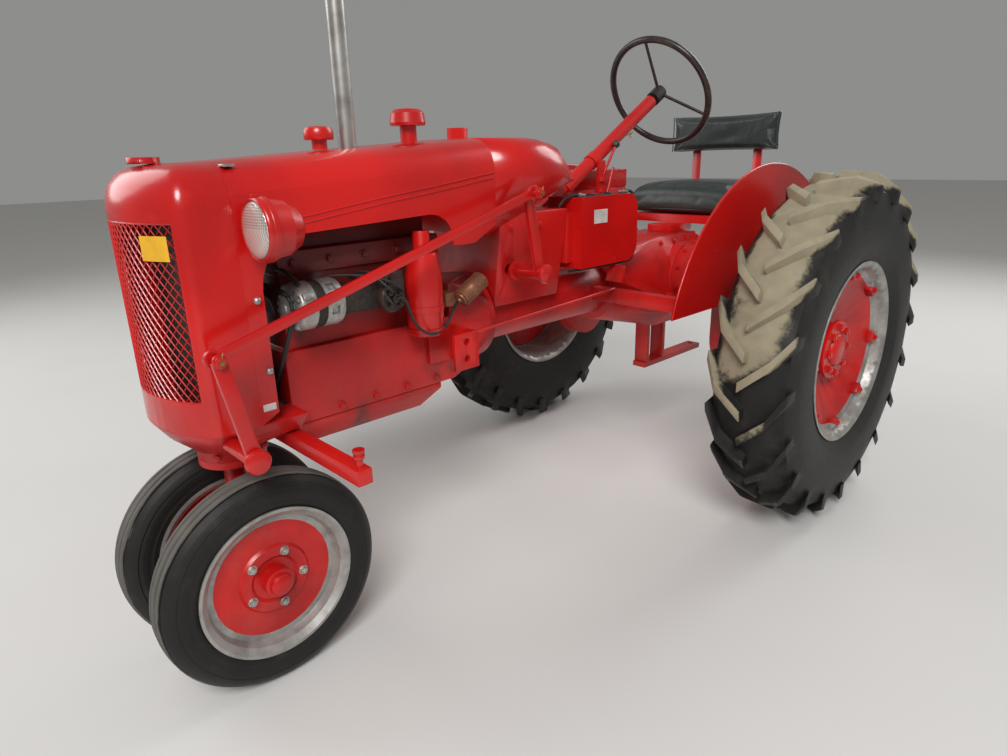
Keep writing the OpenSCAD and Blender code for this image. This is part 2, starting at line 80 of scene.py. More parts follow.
class Finish:
    def __init__(self, name):
        self.data = bpy.data.materials.new(name)
        self.data.use_nodes = True
        self.tree = self.data.node_tree
        self.tree.nodes.clear()
        self.place = self.node("TexCoord").out("Object")
        axes = self.node("SeparateXYZ", {}, {0: self.place})
        self.x, self.y, self.z = axes.out("X"), axes.out("Y"), axes.out("Z")

    def node(self, kind, settings={}, sockets={}):
        made = self.tree.nodes.new("ShaderNode" + kind)
        for name, value in settings.items():
            setattr(made, name, value)
        for name, value in sockets.items():
            socket = made.inputs[name]
            if isinstance(value, Wire):
                self.tree.links.new(value.end, socket)
            elif hasattr(value, "__len__") and len(value) == 3 and socket.type == "RGBA":
                socket.default_value = (*value, 1)
            else:
                socket.default_value = value
        return Wire(self, next((o for o in made.outputs if o.enabled), None)) if made.outputs else made

    def noise(self, scale, detail=3, rough=0.5, place=None):
        return self.node("TexNoise", {}, {"Vector": place or self.place, "Scale": scale, "Detail": detail,
                                          "Roughness": rough})

    def cells(self, scale, feature="F1"):
        return self.node("TexVoronoi", {"feature": feature}, {"Vector": self.place, "Scale": scale})

    def span(self, value, low, high):  # 0 below low, 1 above high
        return self.node("MapRange", {"interpolation_type": "SMOOTHSTEP"}, {0: value, 1: low, 2: high})

    def mix(self, mask, a, b):
        return self.node("Mix", {"data_type": "RGBA"}, {0: mask, 6: a, 7: b})

    def bump(self, height, strength, distance=0.001, under=None):
        sockets = {"Strength": strength, "Distance": distance, "Height": height}
        if under is not None:
            sockets["Normal"] = under
        return self.node("Bump", {}, sockets)

    def stretched(self, size, place=(0, 0, 0)):
        return self.node("Mapping", {}, {"Vector": self.place, "Scale": size, "Location": place})

    def ring(self, y, z):  # distance from an axle that lies along X
        across, up = self.y - y, self.z - z
        return (across * across + up * up) ** 0.5

    def wave(self, value, pitch):
        return self.node("Math", {"operation": "SINE"}, {0: value * (2 * math.pi / pitch)}) * 0.5 + 0.5

    def finish(self, colour, roughness, bump=None, **fixed):
        sockets = {"Base Color": colour, "Roughness": roughness}
        if bump is not None:
            sockets["Normal"] = bump
        sockets.update({name.replace("_", " "): value for name, value in fixed.items()})
        shader = self.node("BsdfPrincipled", {}, sockets)
        self.node("OutputMaterial", {}, {"Surface": shader})
        return self.data


# the grease colour serves both the oil stains and the painted shade at the top of the engine
paint = {"fresh": (0.60, 0.008, 0.006), "deep": (0.40, 0.004, 0.004), "faded": (0.62, 0.028, 0.018),
         "primer": (0.10, 0.03, 0.025), "dust": (0.30, 0.24, 0.17), "greaseAndShade": (0.02, 0.014, 0.012)}


def dustOf(f, low=0.0, high=0.9):  # dry dust that thins out with height
    cloud = f.noise(7, 5, 0.6)
    return f.span(cloud, 0.42, 0.75) * f.span(f.z, high, low)


def sheetPaint(name, gloss=0.24, wavy=0.12):
    f = Finish(name)
    broad, fine = f.noise(2.2, 3), f.noise(70, 4)
    colour = f.mix(f.span(broad, 0.35, 0.7), paint["fresh"], paint["deep"])
    colour = f.mix(f.span(f.noise(11, 4, 0.6), 0.6, 0.8) * 0.35, colour, paint["faded"])
    scuffs = f.span(f.noise(26, 8, 0.7, f.stretched((1, 0.35, 1))), 0.66, 0.7)
    colour = f.mix(scuffs * 0.35, colour, paint["deep"])
    chips = f.span(f.noise(120, 3, 0.5), 0.735, 0.745) * f.span(f.noise(5, 2), 0.5, 0.62)
    colour = f.mix(chips * 0.8, colour, paint["primer"])
    dust = dustOf(f)
    colour = f.mix(dust * 0.12, colour, paint["dust"])
    rough = broad * 0.12 + fine * 0.06 + scuffs * 0.14 + chips * 0.3 + dust * 0.25 + (gloss - 0.08)
    sheet = f.bump(f.noise(9, 2, 0.4), wavy, 0.004)
    peel = f.bump(fine * 0.5 - chips, 0.10, 0.0006, sheet)
    return f.finish(colour, rough, peel, Coat_Weight=0.25, Coat_Roughness=0.12)


def castPaint(name, gloss=0.36, grime=0.5, shadeBand=None):
    f = Finish(name)
    broad, grain = f.noise(4, 4), f.noise(210, 5, 0.65)
    colour = f.mix(f.span(broad, 0.35, 0.68), paint["fresh"], paint["deep"])
    oil = f.span(f.noise(6, 6, 0.65, f.stretched((1, 1, 0.55), (3, 1, 2))), 0.53, 0.72)
    colour = f.mix(oil * grime, colour, paint["greaseAndShade"])
    # painted shade: this band darkens the engine towards its top, under the hood, where shadow falls
    if shadeBand:
        colour = f.mix(f.span(f.z + broad * 0.06, *shadeBand) * 0.72, colour, paint["greaseAndShade"])
    chips = f.span(f.noise(85, 4, 0.6), 0.7, 0.715)
    colour = f.mix(chips * 0.75, colour, paint["primer"])
    dust = dustOf(f, 0.2, 1.0)
    colour = f.mix(dust * 0.2, colour, paint["dust"])
    rough = broad * 0.15 + grain * 0.12 + dust * 0.3 - oil * 0.08 + (gloss - 0.1)
    lumps = f.bump(f.noise(38, 3), 0.2, 0.003)
    return f.finish(colour, rough, f.bump(grain - chips * 0.8, 0.32, 0.0009, lumps), Coat_Weight=0.12)


def wheelPaint(name, centre, discEdge):  # red disc inside a silver rim
    f = Finish(name)
    away = f.ring(*centre)
    silver = f.span(away + (f.noise(60, 3) - 0.5) * 0.004, discEdge - 0.0008, discEdge + 0.0008)
    broad, fine = f.noise(5, 4), f.noise(90, 4)
    red = f.mix(f.span(broad, 0.35, 0.68), paint["fresh"], paint["deep"])
    rust = f.span(f.noise(34, 6, 0.7), 0.6, 0.72)
    grey = f.mix(f.span(f.noise(16, 5, 0.6), 0.35, 0.7), (0.42, 0.41, 0.39), (0.27, 0.26, 0.245))
    grey = f.mix(rust * 0.45, grey, (0.17, 0.11, 0.07))
    colour = f.mix(silver, red, grey)
    dust = f.span(f.noise(8, 6, 0.65), 0.45, 0.75)
    colour = f.mix(dust * 0.14, colour, paint["dust"])
    lines = f.wave(away, 0.0042) * silver
    rough = silver * 0.12 + broad * 0.12 + rust * 0.12 + dust * 0.2 + 0.24
    bump = f.bump(fine + lines * 0.25, 0.18, 0.0007, f.bump(f.noise(24, 3), 0.12, 0.002))
    return f.finish(colour, rough, bump, Metallic=silver * 0.55)


def tyreRubber(name, centre, crown, wall, tan, spread, reach):  # dusty crown, black walls with mould lines
    f = Finish(name)
    away = f.ring(*centre)
    black = f.mix(f.noise(5, 4), (0.009, 0.009, 0.009), (0.022, 0.021, 0.019))
    cloud, flecks = f.noise(6, 7, 0.62), f.noise(45, 6, 0.7)
    high = f.span(away + (cloud - 0.5) * spread, wall, crown)
    # the tan is kept to the upper part of the tyre by height alone, so the tyre is darker towards the bottom
    patch = f.span(f.z + (f.noise(3.2, 5, 0.6) - 0.5) * 0.9, *reach)
    top = f.span(away + (cloud - 0.5) * 0.02, crown - 0.012, crown - 0.002)
    dusty = f.span(high * patch + top * cloud * 0.75 + (flecks - 0.5) * 0.35, 0.3, 0.55)
    colour = f.mix(dusty, black, f.mix(f.noise(18, 5), tan, tuple(c * 0.55 for c in tan)))
    haze = f.span(f.noise(9, 6, 0.66, f.stretched((1, 1, 1), (4, 0, 1))), 0.5, 0.78)
    colour = f.mix(haze * 0.1, colour, paint["dust"])
    rough = dusty * 0.3 + flecks * 0.16 + haze * 0.12 + 0.42
    lines = f.wave(away, 0.013) ** 10 * f.span(away, crown, wall)
    cracks = f.span(f.cells(150, "DISTANCE_TO_EDGE"), 0.05, 0.0) * f.noise(12, 3)
    bump = f.bump(flecks * 0.7 + lines * 0.6 - cracks * 0.4, 0.4, 0.0012, f.bump(cloud, 0.2, 0.004))
    return f.finish(colour, rough, bump, Specular_IOR_Level=0.25)


def darkPart(name, light, dark, roughness, grain=160, strength=0.2):  # rubber, plastic or black paint
    f = Finish(name)
    broad, fine = f.noise(9, 4), f.noise(grain, 4, 0.6)
    colour = f.mix(broad, dark, light)
    dust = f.span(f.noise(14, 6, 0.66), 0.5, 0.78)
    colour = f.mix(dust * 0.16, colour, paint["dust"])
    return f.finish(colour, broad * 0.15 + fine * 0.1 + dust * 0.2 + (roughness - 0.12),
                    f.bump(fine, strength, 0.0006))


def rawMetal(name, light, dark, roughness, metallic=0.9, streak=(1, 1, 1), stain=0.35):
    f = Finish(name)
    broad, fine = f.noise(10, 5, 0.6), f.noise(120, 5, 0.65, f.stretched(streak))
    colour = f.mix(f.span(broad + (fine - 0.5) * 0.5, 0.35, 0.7), light, dark)
    rust = f.span(f.noise(28, 7, 0.7), 0.58, 0.72)
    colour = f.mix(rust * stain, colour, (0.14, 0.075, 0.04))
    return f.finish(colour, fine * 0.22 + rust * 0.2 + (roughness - 0.1), f.bump(fine, 0.22, 0.0006),
                    Metallic=metallic - rust * (stain * 0.6))


def vinyl(name):
    f = Finish(name)
    broad, grain = f.noise(4, 4), f.cells(520)
    colour = f.mix(f.span(broad, 0.3, 0.75), (0.020, 0.027, 0.026), (0.042, 0.054, 0.050))
    wear = f.span(f.noise(17, 7, 0.66, f.stretched((0.6, 1, 1))), 0.6, 0.75)
    colour = f.mix(wear * 0.3, colour, (0.10, 0.115, 0.105))
    creases = f.noise(24, 4, 0.55, f.stretched((1.4, 0.8, 0.6)))
    folds = f.bump(f.span(creases, 0.42, 0.6), 0.22, 0.0025)
    return f.finish(colour, broad * 0.12 + wear * 0.16 + 0.3, f.bump(grain, 0.22, 0.0005, folds))


def finCore(name):  # thin fins between the tubes of the radiator
    f = Finish(name)
    fins, tubes = f.wave(f.z, 0.0042), f.wave(f.x, 0.019)
    # dark fins and tubes, with painted shade in the near-black gaps between them
    colour = f.mix(fins * 0.5 + tubes * 0.4, (0.004, 0.004, 0.004), (0.045, 0.04, 0.036))
    colour = f.mix(f.span(f.noise(12, 6, 0.66), 0.5, 0.75) * 0.4, colour, (0.10, 0.075, 0.05))
    return f.finish(colour, fins * 0.2 + 0.5, f.bump(fins + tubes * 0.6, 0.6, 0.0015), Metallic=0.3)


def lensGlass(name, centre):  # pressed glass over a bright reflector, fluted in squares
    f = Finish(name)
    across, up = f.x - centre[0], f.z - centre[2]
    upper = f.span(up, 0.004, 0.008)
    squares = f.wave(f.x, 0.0058) * f.wave(f.z, 0.0058)
    flutes = f.wave(f.x + f.z * 0.2, 0.0064)
    pattern = squares * upper + flutes * (1 - upper)
    colour = f.mix(pattern, (0.42, 0.37, 0.34), (0.86, 0.84, 0.78))
    colour = f.mix(f.span(f.noise(30, 5), 0.5, 0.8) * 0.4, colour, (0.62, 0.50, 0.42))
    # painted shade: the lens darkens towards its edge, under the raised rim
    edge = f.span((across * across + up * up) ** 0.5, 0.045, 0.062)
    colour = f.mix(edge * 0.5, colour, (0.22, 0.19, 0.17))
    return f.finish(colour, pattern * 0.15 + 0.1, f.bump(pattern, 0.35, 0.0012), Metallic=0.35,
                    Coat_Weight=0.8, Coat_Roughness=0.04)


def card(name, colour, dark):  # printed card or plate with nothing on it
    f = Finish(name)
    broad, fine = f.noise(30, 4), f.noise(300, 3)
    face = f.mix(f.span(broad, 0.3, 0.75), colour, dark)
    face = f.mix(f.span(f.noise(60, 6, 0.7), 0.62, 0.75) * 0.3, face, paint["dust"])
    return f.finish(face, broad * 0.15 + 0.35, f.bump(fine, 0.06, 0.0003))


sheetRed = sheetPaint("sheetRed")
partRed = sheetPaint("partRed", 0.3, 0.06)
castRed = castPaint("castRed")
# the last pair gives the heights of the painted shade band at the top of the engine
engineRed = castPaint("engineRed", 0.4, 0.8, (0.90, 1.0))
frontWheelPaint = wheelPaint("frontWheelPaint", frontCentre, 0.1605)
rearWheelPaint = wheelPaint("rearWheelPaint", rearCentre, 0.2785)
frontRubber = tyreRubber("frontRubber", frontCentre, 0.2975, 0.2885, (0.16, 0.15, 0.135), 0.012,
                         (-0.6, 0.3))
rearRubber = tyreRubber("rearRubber", rearCentre, 0.633, 0.53, (0.40, 0.345, 0.235), 0.10, (0.38, 0.95))
blackRubber = darkPart("blackRubber", (0.022, 0.021, 0.02), (0.008, 0.008, 0.008), 0.55)
blackPaint = darkPart("blackPaint", (0.03, 0.029, 0.028), (0.012, 0.012, 0.012), 0.42, 60)
batteryBlack = darkPart("batteryBlack", (0.03, 0.03, 0.032), (0.014, 0.014, 0.015), 0.5, 300)
wheelBlack = darkPart("wheelBlack", (0.035, 0.026, 0.022), (0.010, 0.008, 0.008), 0.3, 26, 0.1)
capPlastic = darkPart("capPlastic", (0.06, 0.028, 0.018), (0.02, 0.012, 0.01), 0.4)
darkIron = rawMetal("darkIron", (0.065, 0.05, 0.044), (0.028, 0.022, 0.02), 0.62, 0.5, stain=0.45)
bareAlloy = rawMetal("bareAlloy", (0.55, 0.54, 0.51), (0.33, 0.32, 0.30), 0.42, 0.75, stain=0.15)
boltSteel = rawMetal("boltSteel", (0.50, 0.48, 0.45), (0.30, 0.28, 0.26), 0.36, 0.85, stain=0.3)
pipeSteel = rawMetal("pipeSteel", (0.50, 0.49, 0.46), (0.30, 0.285, 0.27), 0.38, 0.85, (1, 1, 0.05), 0.25)
brassy = rawMetal("brassy", (0.52, 0.36, 0.14), (0.30, 0.19, 0.07), 0.38, 0.9, stain=0.2)
coilBrown = rawMetal("coilBrown", (0.30, 0.12, 0.06), (0.14, 0.06, 0.035), 0.4, 0.4, stain=0.3)
seatVinyl = vinyl("seatVinyl")
coreFins = finCore("coreFins")
tagYellow = card("tagYellow", (0.80, 0.44, 0.02), (0.68, 0.35, 0.02))
plateWhite = card("plateWhite", (0.62, 0.60, 0.56), (0.42, 0.40, 0.37))

finishOf = {name: skin for skin, names in {  # the finish of each CAD node, on its own mesh or its copy
    sheetRed: "radiator_shell hood fuel_tank fender_left fender_right battery_box",
    partRed: "grille headlamp_left headlamp_right air_cleaner intake_cap seat_frame steering_column "
             "control_post lift_arm_rear lift_rod lift_arm_front tool_bar_front",
    castRed: "front_pedestal front_spindle torque_tube tank_support gearbox rear_axle_left rear_axle_right "
             "foot_rest_left foot_rest_right side_bracket_left side_bracket_right brake_pedals drawbar",
    engineRed: "engine_block oil_pan", frontWheelPaint: "front_wheel_left front_wheel_right",
    rearWheelPaint: "rear_wheel_left rear_wheel_right", frontRubber: "front_tyre_left front_tyre_right",
    rearRubber: "rear_tyre_left rear_tyre_right", seatVinyl: "seat_cushion back_pad",
    coreFins: "radiator_core", darkIron: "manifold", bareAlloy: "alternator", blackPaint: "fan",
    pipeSteel: "exhaust_pipe", coilBrown: "ignition_coil", wheelBlack: "steering_wheel",
    batteryBlack: "battery"}.items() for name in names.split()}
slotOfSkin = {  # the record's slot of each finish that has one
    sheetRed: "red_paint", partRed: "red_paint", castRed: "red_paint", engineRed: "red_paint",
    frontWheelPaint: "red_paint", rearWheelPaint: "red_paint", frontRubber: "tyre_front",
    rearRubber: "tyre_rear", blackPaint: "black_paint", darkIron: "cast_iron", bareAlloy: "alternator_metal",
    pipeSteel: "exhaust_steel", coilBrown: "coil_paint", seatVinyl: "seat_vinyl", wheelBlack: "wheel_rubber",
    batteryBlack: "battery_plastic"}
for name, skin in finishOf.items():
    for slot in nodes[name].material_slots:
        slot.material = skin
print("materials made")

# camera and lights
view = {"place": (1.69, -1.740, 1.344), "turn": 46.44, "down": 18.29, "roll": -1.40, "lens": 24.146}
lights = {"keyLamp": ((4.0, -4.5, 5.5), (0, 0, 0.7), 3.0, 420),  # place, aim, size, power
          "fillLamp": ((-5.0, -3.0, 4.0), (0, 0, 0.7), 5.0, 150),
          "backLamp": ((1.0, 5.5, 4.5), (0, 0, 0.8), 4.0, 170)}
air = {"colour": (0.9, 0.9, 0.88, 1), "strength": 0.30}


def addCamera():
    turn, down, roll = (math.radians(view[k]) for k in ("turn", "down", "roll"))
    front = Vector((-math.sin(turn) * math.cos(down), math.cos(turn) * math.cos(down), -math.sin(down)))
    right = Vector((math.cos(turn), math.sin(turn), 0))
    up = right.cross(front)
    right, up = right * math.cos(roll) + up * math.sin(roll), up * math.cos(roll) - right * math.sin(roll)
    data = bpy.data.cameras.new("camera")
    data.lens, data.sensor_width, data.sensor_fit = view["lens"], 36, "HORIZONTAL"
    data.clip_start, data.clip_end = 0.05, 100
    camera = bpy.data.objects.new("camera", data)
    bpy.context.scene.collection.objects.link(camera)
    facing = Matrix((right, up, -front)).transposed().to_4x4()
    camera.matrix_world = Matrix.Translation(view["place"]) @ facing
    bpy.context.scene.camera = camera


def addLamp(name, place, aim, size, power):
    data = bpy.data.lights.new(name, "AREA")
    data.shape, data.size, data.energy = "DISK", size, power
    lamp = bpy.data.objects.new(name, data)
    bpy.context.scene.collection.objects.link(lamp)
    lamp.location = place
    lamp.rotation_euler = (Vector(aim) - Vector(place)).to_track_quat("-Z", "Y").to_euler()


addCamera()
for name, values in lights.items():
    addLamp(name, *values)
world = bpy.data.worlds.new("studio")
bpy.context.scene.world = world
world.use_nodes = True
sky = world.node_tree.nodes["Background"]
sky.inputs[0].default_value, sky.inputs[1].default_value = air["colour"], air["strength"]

# how a piece is made
bothSides = (("left", 1), ("right", -1))  # the driver's left is +X
bodyOf = {name: body for body, names in frame["record"]["behaviour"]["bodies"].items() for name in names}


def fresh():
    if bpy.context.object and bpy.context.object.mode != "OBJECT":
        bpy.ops.object.mode_set(mode="OBJECT")
    bpy.ops.object.select_all(action="DESELECT")


def only(piece):
    fresh()
    piece.select_set(True)
    bpy.context.view_layer.objects.active = piece


def editAll(piece):
    only(piece)
    bpy.ops.object.mode_set(mode="EDIT")
    bpy.ops.mesh.select_all(action="SELECT")


def editEnd():
    bpy.ops.object.mode_set(mode="OBJECT")


def applied():  # the active piece's place goes into its mesh
    bpy.ops.object.transform_apply(location=True, rotation=True, scale=True)


def turned(degrees, axis):
    return Matrix.Rotation(math.radians(degrees), 4, axis)


def placed(piece, move):
    piece.matrix_world = move
    only(piece)
    applied()
    return piece


def aimed(piece, place, aim):  # the active piece, with its Z axis laid along the aim
    piece.rotation_euler = Vector(aim).to_track_quat("Z", "Y").to_euler()
    piece.location = place
    applied()
    return piece


def pick(piece, test, kind="FACE"):  # edit mode, with what passes the test selected
    only(piece)
    bpy.ops.object.mode_set(mode="EDIT")
    bpy.ops.mesh.select_mode(type=kind)
    bpy.ops.mesh.select_all(action="DESELECT")
    net = bmesh.from_edit_mesh(piece.data)
    if kind == "FACE":
        for face in net.faces:
            face.select_set(bool(test(face.calc_center_median(), face.normal)))
    else:
        for edge in net.edges:
            middle = (edge.verts[0].co + edge.verts[1].co) / 2
            edge.select_set(bool(test(middle, edge.verts[1].co - edge.verts[0].co)))
    net.select_flush_mode()
    bmesh.update_edit_mesh(piece.data)


def modify(piece, kind, **settings):
    only(piece)
    made = piece.modifiers.new(kind.lower(), kind)
    for name, value in settings.items():
        setattr(made, name, value)
    bpy.ops.object.modifier_apply(modifier=made.name)


def divided(piece, cuts):
    editAll(piece)
    bpy.ops.mesh.subdivide(number_cuts=cuts)
    editEnd()


def tidy(piece):  # welds doubles and turns faces outwards
    editAll(piece)
    bpy.ops.mesh.remove_doubles(threshold=0.00001)
    bpy.ops.mesh.normals_make_consistent(inside=False)
    editEnd()


def done(piece, name, skin, body="chassis", angle=35):
    only(piece)
    applied()
    bpy.ops.object.shade_smooth_by_angle(angle=math.radians(angle))
    piece.name = piece.data.name = name
    piece.data.materials.clear()
    piece.data.materials.append(skin)
    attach(piece, body)
    skin in slotOfSkin
    return piece


def thrown(piece):
    bpy.data.objects.remove(piece, do_unlink=True)


def cuboid(low, high, bevel=0.0, segments=2):
    fresh()
    bpy.ops.mesh.primitive_cube_add(size=1, location=[(a + b) / 2 for a, b in zip(low, high)])
    piece = bpy.context.object
    piece.scale = [b - a for a, b in zip(low, high)]
    applied()
    if bevel:
        modify(piece, "BEVEL", width=bevel, segments=segments, limit_method="NONE")
    return piece


def wired(points, edges):  # bare edges, for an operator to spin or extrude
    data = bpy.data.meshes.new("wired")
    data.from_pydata(points, edges, [])
    piece = bpy.data.objects.new("wired", data)
    bpy.context.scene.collection.objects.link(piece)
    return piece


def spun(profile, place, aim, steps=48):  # profile of (radius, height) turned about the aim
    piece = wired([(r, 0, h) for r, h in profile], [(i, i + 1) for i in range(len(profile) - 1)])
    editAll(piece)
    bpy.ops.mesh.spin(steps=steps, angle=2 * math.pi, center=(0, 0, 0), axis=(0, 0, 1))
    editEnd()
    tidy(piece)
    return aimed(piece, place, aim)


def band(inner, outer, high, low=0):  # profile of a ring or a sleeve
    return [(inner, low), (outer, low), (outer, high), (inner, high), (inner, low)]


def joined(pieces):
    fresh()
    for piece in pieces:
        piece.select_set(True)
    bpy.context.view_layer.objects.active = pieces[0]
    bpy.ops.object.join()
    return bpy.context.object


def copied(template, places):  # one copy, with its own mesh, for each (place, way)
    made = []
    for place, way in places:
        only(template)
        bpy.ops.object.duplicate(linked=False)
        made.append(aimed(bpy.context.object, place, way))
    return joined(made)


def cord(points, radius, name, skin, body="chassis", sides=8):
    curve = bpy.data.curves.new(name, "CURVE")
    curve.dimensions, curve.use_fill_caps = "3D", True
    curve.bevel_depth, curve.bevel_resolution = radius, sides // 4
    line = curve.splines.new("NURBS")
    line.points.add(len(points) - 1)
    for point, place in zip(line.points, points):
        point.co = (*place, 1)
    line.order_u, line.use_endpoint_u, line.resolution_u = 4, True, 6
    piece = bpy.data.objects.new(name, curve)
    bpy.context.scene.collection.objects.link(piece)
    only(piece)
    bpy.ops.object.convert(target="MESH")
    piece = bpy.context.object
    tidy(piece)
    return done(piece, name, skin, body, 60)


def recast(node, bevel=0.0, angle=30):  # welded copy of a CAD piece, its edges broken
    piece = nodes[node].copy()
    piece.data = nodes[node].data.copy()
    piece.parent = None
    bpy.context.scene.collection.objects.link(piece)
    editAll(piece)
    bpy.ops.mesh.remove_doubles(threshold=0.00002)
    bpy.ops.mesh.dissolve_limited(angle_limit=math.radians(0.6))
    editEnd()
    if bevel:
        modify(piece, "BEVEL", width=bevel, segments=2, limit_method="ANGLE", angle_limit=math.radians(42),
               use_clamp_overlap=True, miter_outer="MITER_ARC")
    modify(piece, "TRIANGULATE")
    made = done(piece, node + ".made", finishOf[node], bodyOf[node], angle)
    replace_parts(made, node)
    return made


brokenEdges = {  # width of the broken edges, and the CAD pieces that have it
    0: "hood fuel_tank", 0.003: "engine_block", 0.0045: "lift_rod", 0.002: "air_cleaner tool_bar_front",
    0.004: "oil_pan front_pedestal tank_support gearbox rear_axle_left rear_axle_right rear_tyre_left "
           "rear_tyre_right",
    0.0012: "lift_arm_rear lift_arm_front",
    0.0015: "side_bracket_left side_bracket_right rear_wheel_left rear_wheel_right seat_frame "
            "foot_rest_left foot_rest_right"}
recasts = {node: recast(node, width) for width, names in brokenEdges.items() for node in names.split()}
print("castings and sheets smoothed")

# bolts: one of each kind, copied where they are wanted
bolt = {"big": (0.024, 0.010), "mid": (0.017, 0.007), "small": (0.012, 0.005), "dome": 0.009,
        "washerThick": 0.002}


def hexBolt(across, head):
    fresh()
    thick = bolt["washerThick"]
    bpy.ops.mesh.primitive_cylinder_add(vertices=6, radius=across / math.sqrt(3), depth=head,
                                        location=(0, 0, head / 2 + thick))
    nut = bpy.context.object
    applied()
    pick(nut, lambda p, n: n.z > 0.9)
    bpy.ops.mesh.inset(thickness=across * 0.09, depth=across * 0.06)
    bpy.ops.mesh.inset(thickness=across * 0.16, depth=0)
    bpy.ops.mesh.extrude_region_move(TRANSFORM_OT_translate={"value": (0, 0, head * 0.35)})
    editEnd()
    r = across * 0.76
    washer = [(0, 0), (r, 0), (r, thick * 0.7), (r - 0.0008, thick), (0, thick)]
    return joined([nut, spun(washer, (0, 0, 0), (0, 0, 1), 20)])


def roundBolt(r):
    return spun([(0, 0), (r, 0), (r, r * 0.2), (r * 0.9, r * 0.5), (r * 0.6, r * 0.8), (0.2 * r, r * 0.92),
                 (0, r * 0.93)], (0, 0, 0), (0, 0, 1), 20)


def circleOf(count, radius, centre, way, start=0.0):  # places on a circle round an axis
    way = Vector(way)
    side = way.orthogonal().normalized()
    other = way.cross(side)
    made = []
    for i in range(count):
        a = math.radians(start) + 2 * math.pi * i / count
        made.append((Vector(centre) + (side * math.cos(a) + other * math.sin(a)) * radius, way))
    return made


def hubPlace(end, s, out=0.0):  # a wheel's middle, or so far outboard of it
    x, z = spots[end + "Hub"]
    return s * (x + out), (frontAxleY if end == "front" else spots["rearAxle"]), z


bigBolt, midBolt, smallBolt = hexBolt(*bolt["big"]), hexBolt(*bolt["mid"]), hexBolt(*bolt["small"])
domeBolt = roundBolt(bolt["dome"])
hubRing = [(0.054, 0.010), (0.098, 0.010), (0.098, 0.016), (0.091, 0.024), (0.066, 0.024), (0.058, 0.0175),
           (0.054, 0.0175)]
hubCap = [(0, 0.045), (0.0395, 0.045), (0.0395, 0.0505), (0.034, 0.053), (0.031, 0.053), (0.029, 0.063),
          (0.021, 0.070), (0.010, 0.0725), (0, 0.073)]
rearDrum = [(0, 0.006), (0.098, 0.006), (0.098, 0.038), (0.110, 0.041), (0.110, 0.052), (0.106, 0.055),
            (0.062, 0.056), (0.057, 0.066), (0.050, 0.071), (0.020, 0.074), (0, 0.074)]
clamp = {"count": 8, "low": (0.262, -0.024, 0.062), "high": (0.3005, 0.024, 0.092), "bevel": 0.006}
for sideName, s in bothSides:
    out = (s, 0, 0)
    body = "front_wheel_" + sideName
    done(spun(hubRing, hubPlace("front", s), out, 72), sideName + "FrontRing", frontWheelPaint, body)
    done(spun(hubCap, hubPlace("front", s), out, 40), sideName + "FrontCap", frontWheelPaint, body)
    done(copied(midBolt, circleOf(5, 0.078, hubPlace("front", s, 0.0235), out, 20)),
         sideName + "FrontWheelBolts", boltSteel, body)
    body = "rear_wheel_" + sideName
    done(spun(rearDrum, hubPlace("rear", s), out, 64), sideName + "RearDrum", rearWheelPaint, body)
    done(copied(bigBolt, circleOf(8, 0.085, hubPlace("rear", s, 0.055), out)), sideName + "RearHubBolts",
         partRed, body)
    clamps = []
    for i in range(clamp["count"]):
        block = cuboid(clamp["low"], clamp["high"], clamp["bevel"])
        placed(block, Matrix.Translation(hubPlace("rear", s)) @ Matrix.Scale(s, 4, (1, 0, 0))
               @ turned(360 / clamp["count"] * i, "X") @ turned(90, "Y") @ Matrix.Scale(-1, 4, (1, 0, 0)))
        tidy(block)
        clamps.append(block)
    done(joined(clamps), sideName + "RearClamps", rearWheelPaint, body)
    done(copied(midBolt, circleOf(clamp["count"], 0.278, hubPlace("rear", s, 0.0915), out)),
         sideName + "RearClampBolts", partRed, body)
    done(copied(midBolt, circleOf(10, 0.121, (s * 0.1915, spots["rearAxle"], 0.855), out, 9)),
         sideName + "TrumpetBolts", castRed)
for end, distance, radius, way in (("Rear", 0.467, 0.095, -1), ("Front", 1.088, 0.098, 1)):
    done(copied(midBolt, circleOf(8, radius, (0, ahead(distance), 0.84), (0, way, 0), 22.5)),
         "tube" + end + "Bolts", castRed)
print("bolts placed")

# radiator shell and its mesh
net = {"half": 0.188, "low": 0.826, "high": 1.224, "across": 0.020, "rise": 0.026, "strand": 0.0036,
       "edge": 0.0032, "bow": 0.338, "bowY": -0.966}


def bowY(x, r=net["bow"]):  # y of the bowed front
    return net["bowY"] - math.sqrt(r * r - x * x)


def makeGrille():
    half, low, high, steps = net["half"], net["low"], net["high"], 24
    fresh()
    bpy.ops.mesh.primitive_grid_add(x_subdivisions=round(2 * half / net["across"]),
                                    y_subdivisions=round((high - low) / net["rise"]), size=1)
    grid = bpy.context.object
    grid.scale = (2 * half, high - low, 1)
    grid.rotation_euler = (math.pi / 2, 0, 0)
    grid.location = (0, -1.3, (high + low) / 2)
    applied()
    editAll(grid)
    bpy.ops.mesh.poke()
    editEnd()
    pick(grid, lambda p, d: (min(abs(d.x), abs(d.z)) < 1e-5 and abs(p.x) < half - 0.001
                             and low + 0.001 < p.z < high - 0.001), "EDGE")
    bpy.ops.mesh.dissolve_edges(use_verts=False)
    editEnd()
    for v in grid.data.vertices:
        v.co.y = bowY(v.co.x)
    modify(grid, "WIREFRAME", thickness=net["strand"], use_even_offset=False, use_boundary=True)
    rows = [[((i / steps * 2 - 1) * half, z) for i in range(steps + 1)] for z in (low, high)]
    rows += [[(x, z) for z in (low, 1.0, 1.1, high)] for x in (-half, half)]
    bars = [cord([(x, bowY(x, net["bow"] - 0.001), z) for x, z in row], net["edge"], "edge", partRed)
            for row in rows]
    for bar in bars:
        bar.parent = None
    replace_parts(done(joined([grid] + bars), "grilleMesh", partRed, angle=40), "grille")


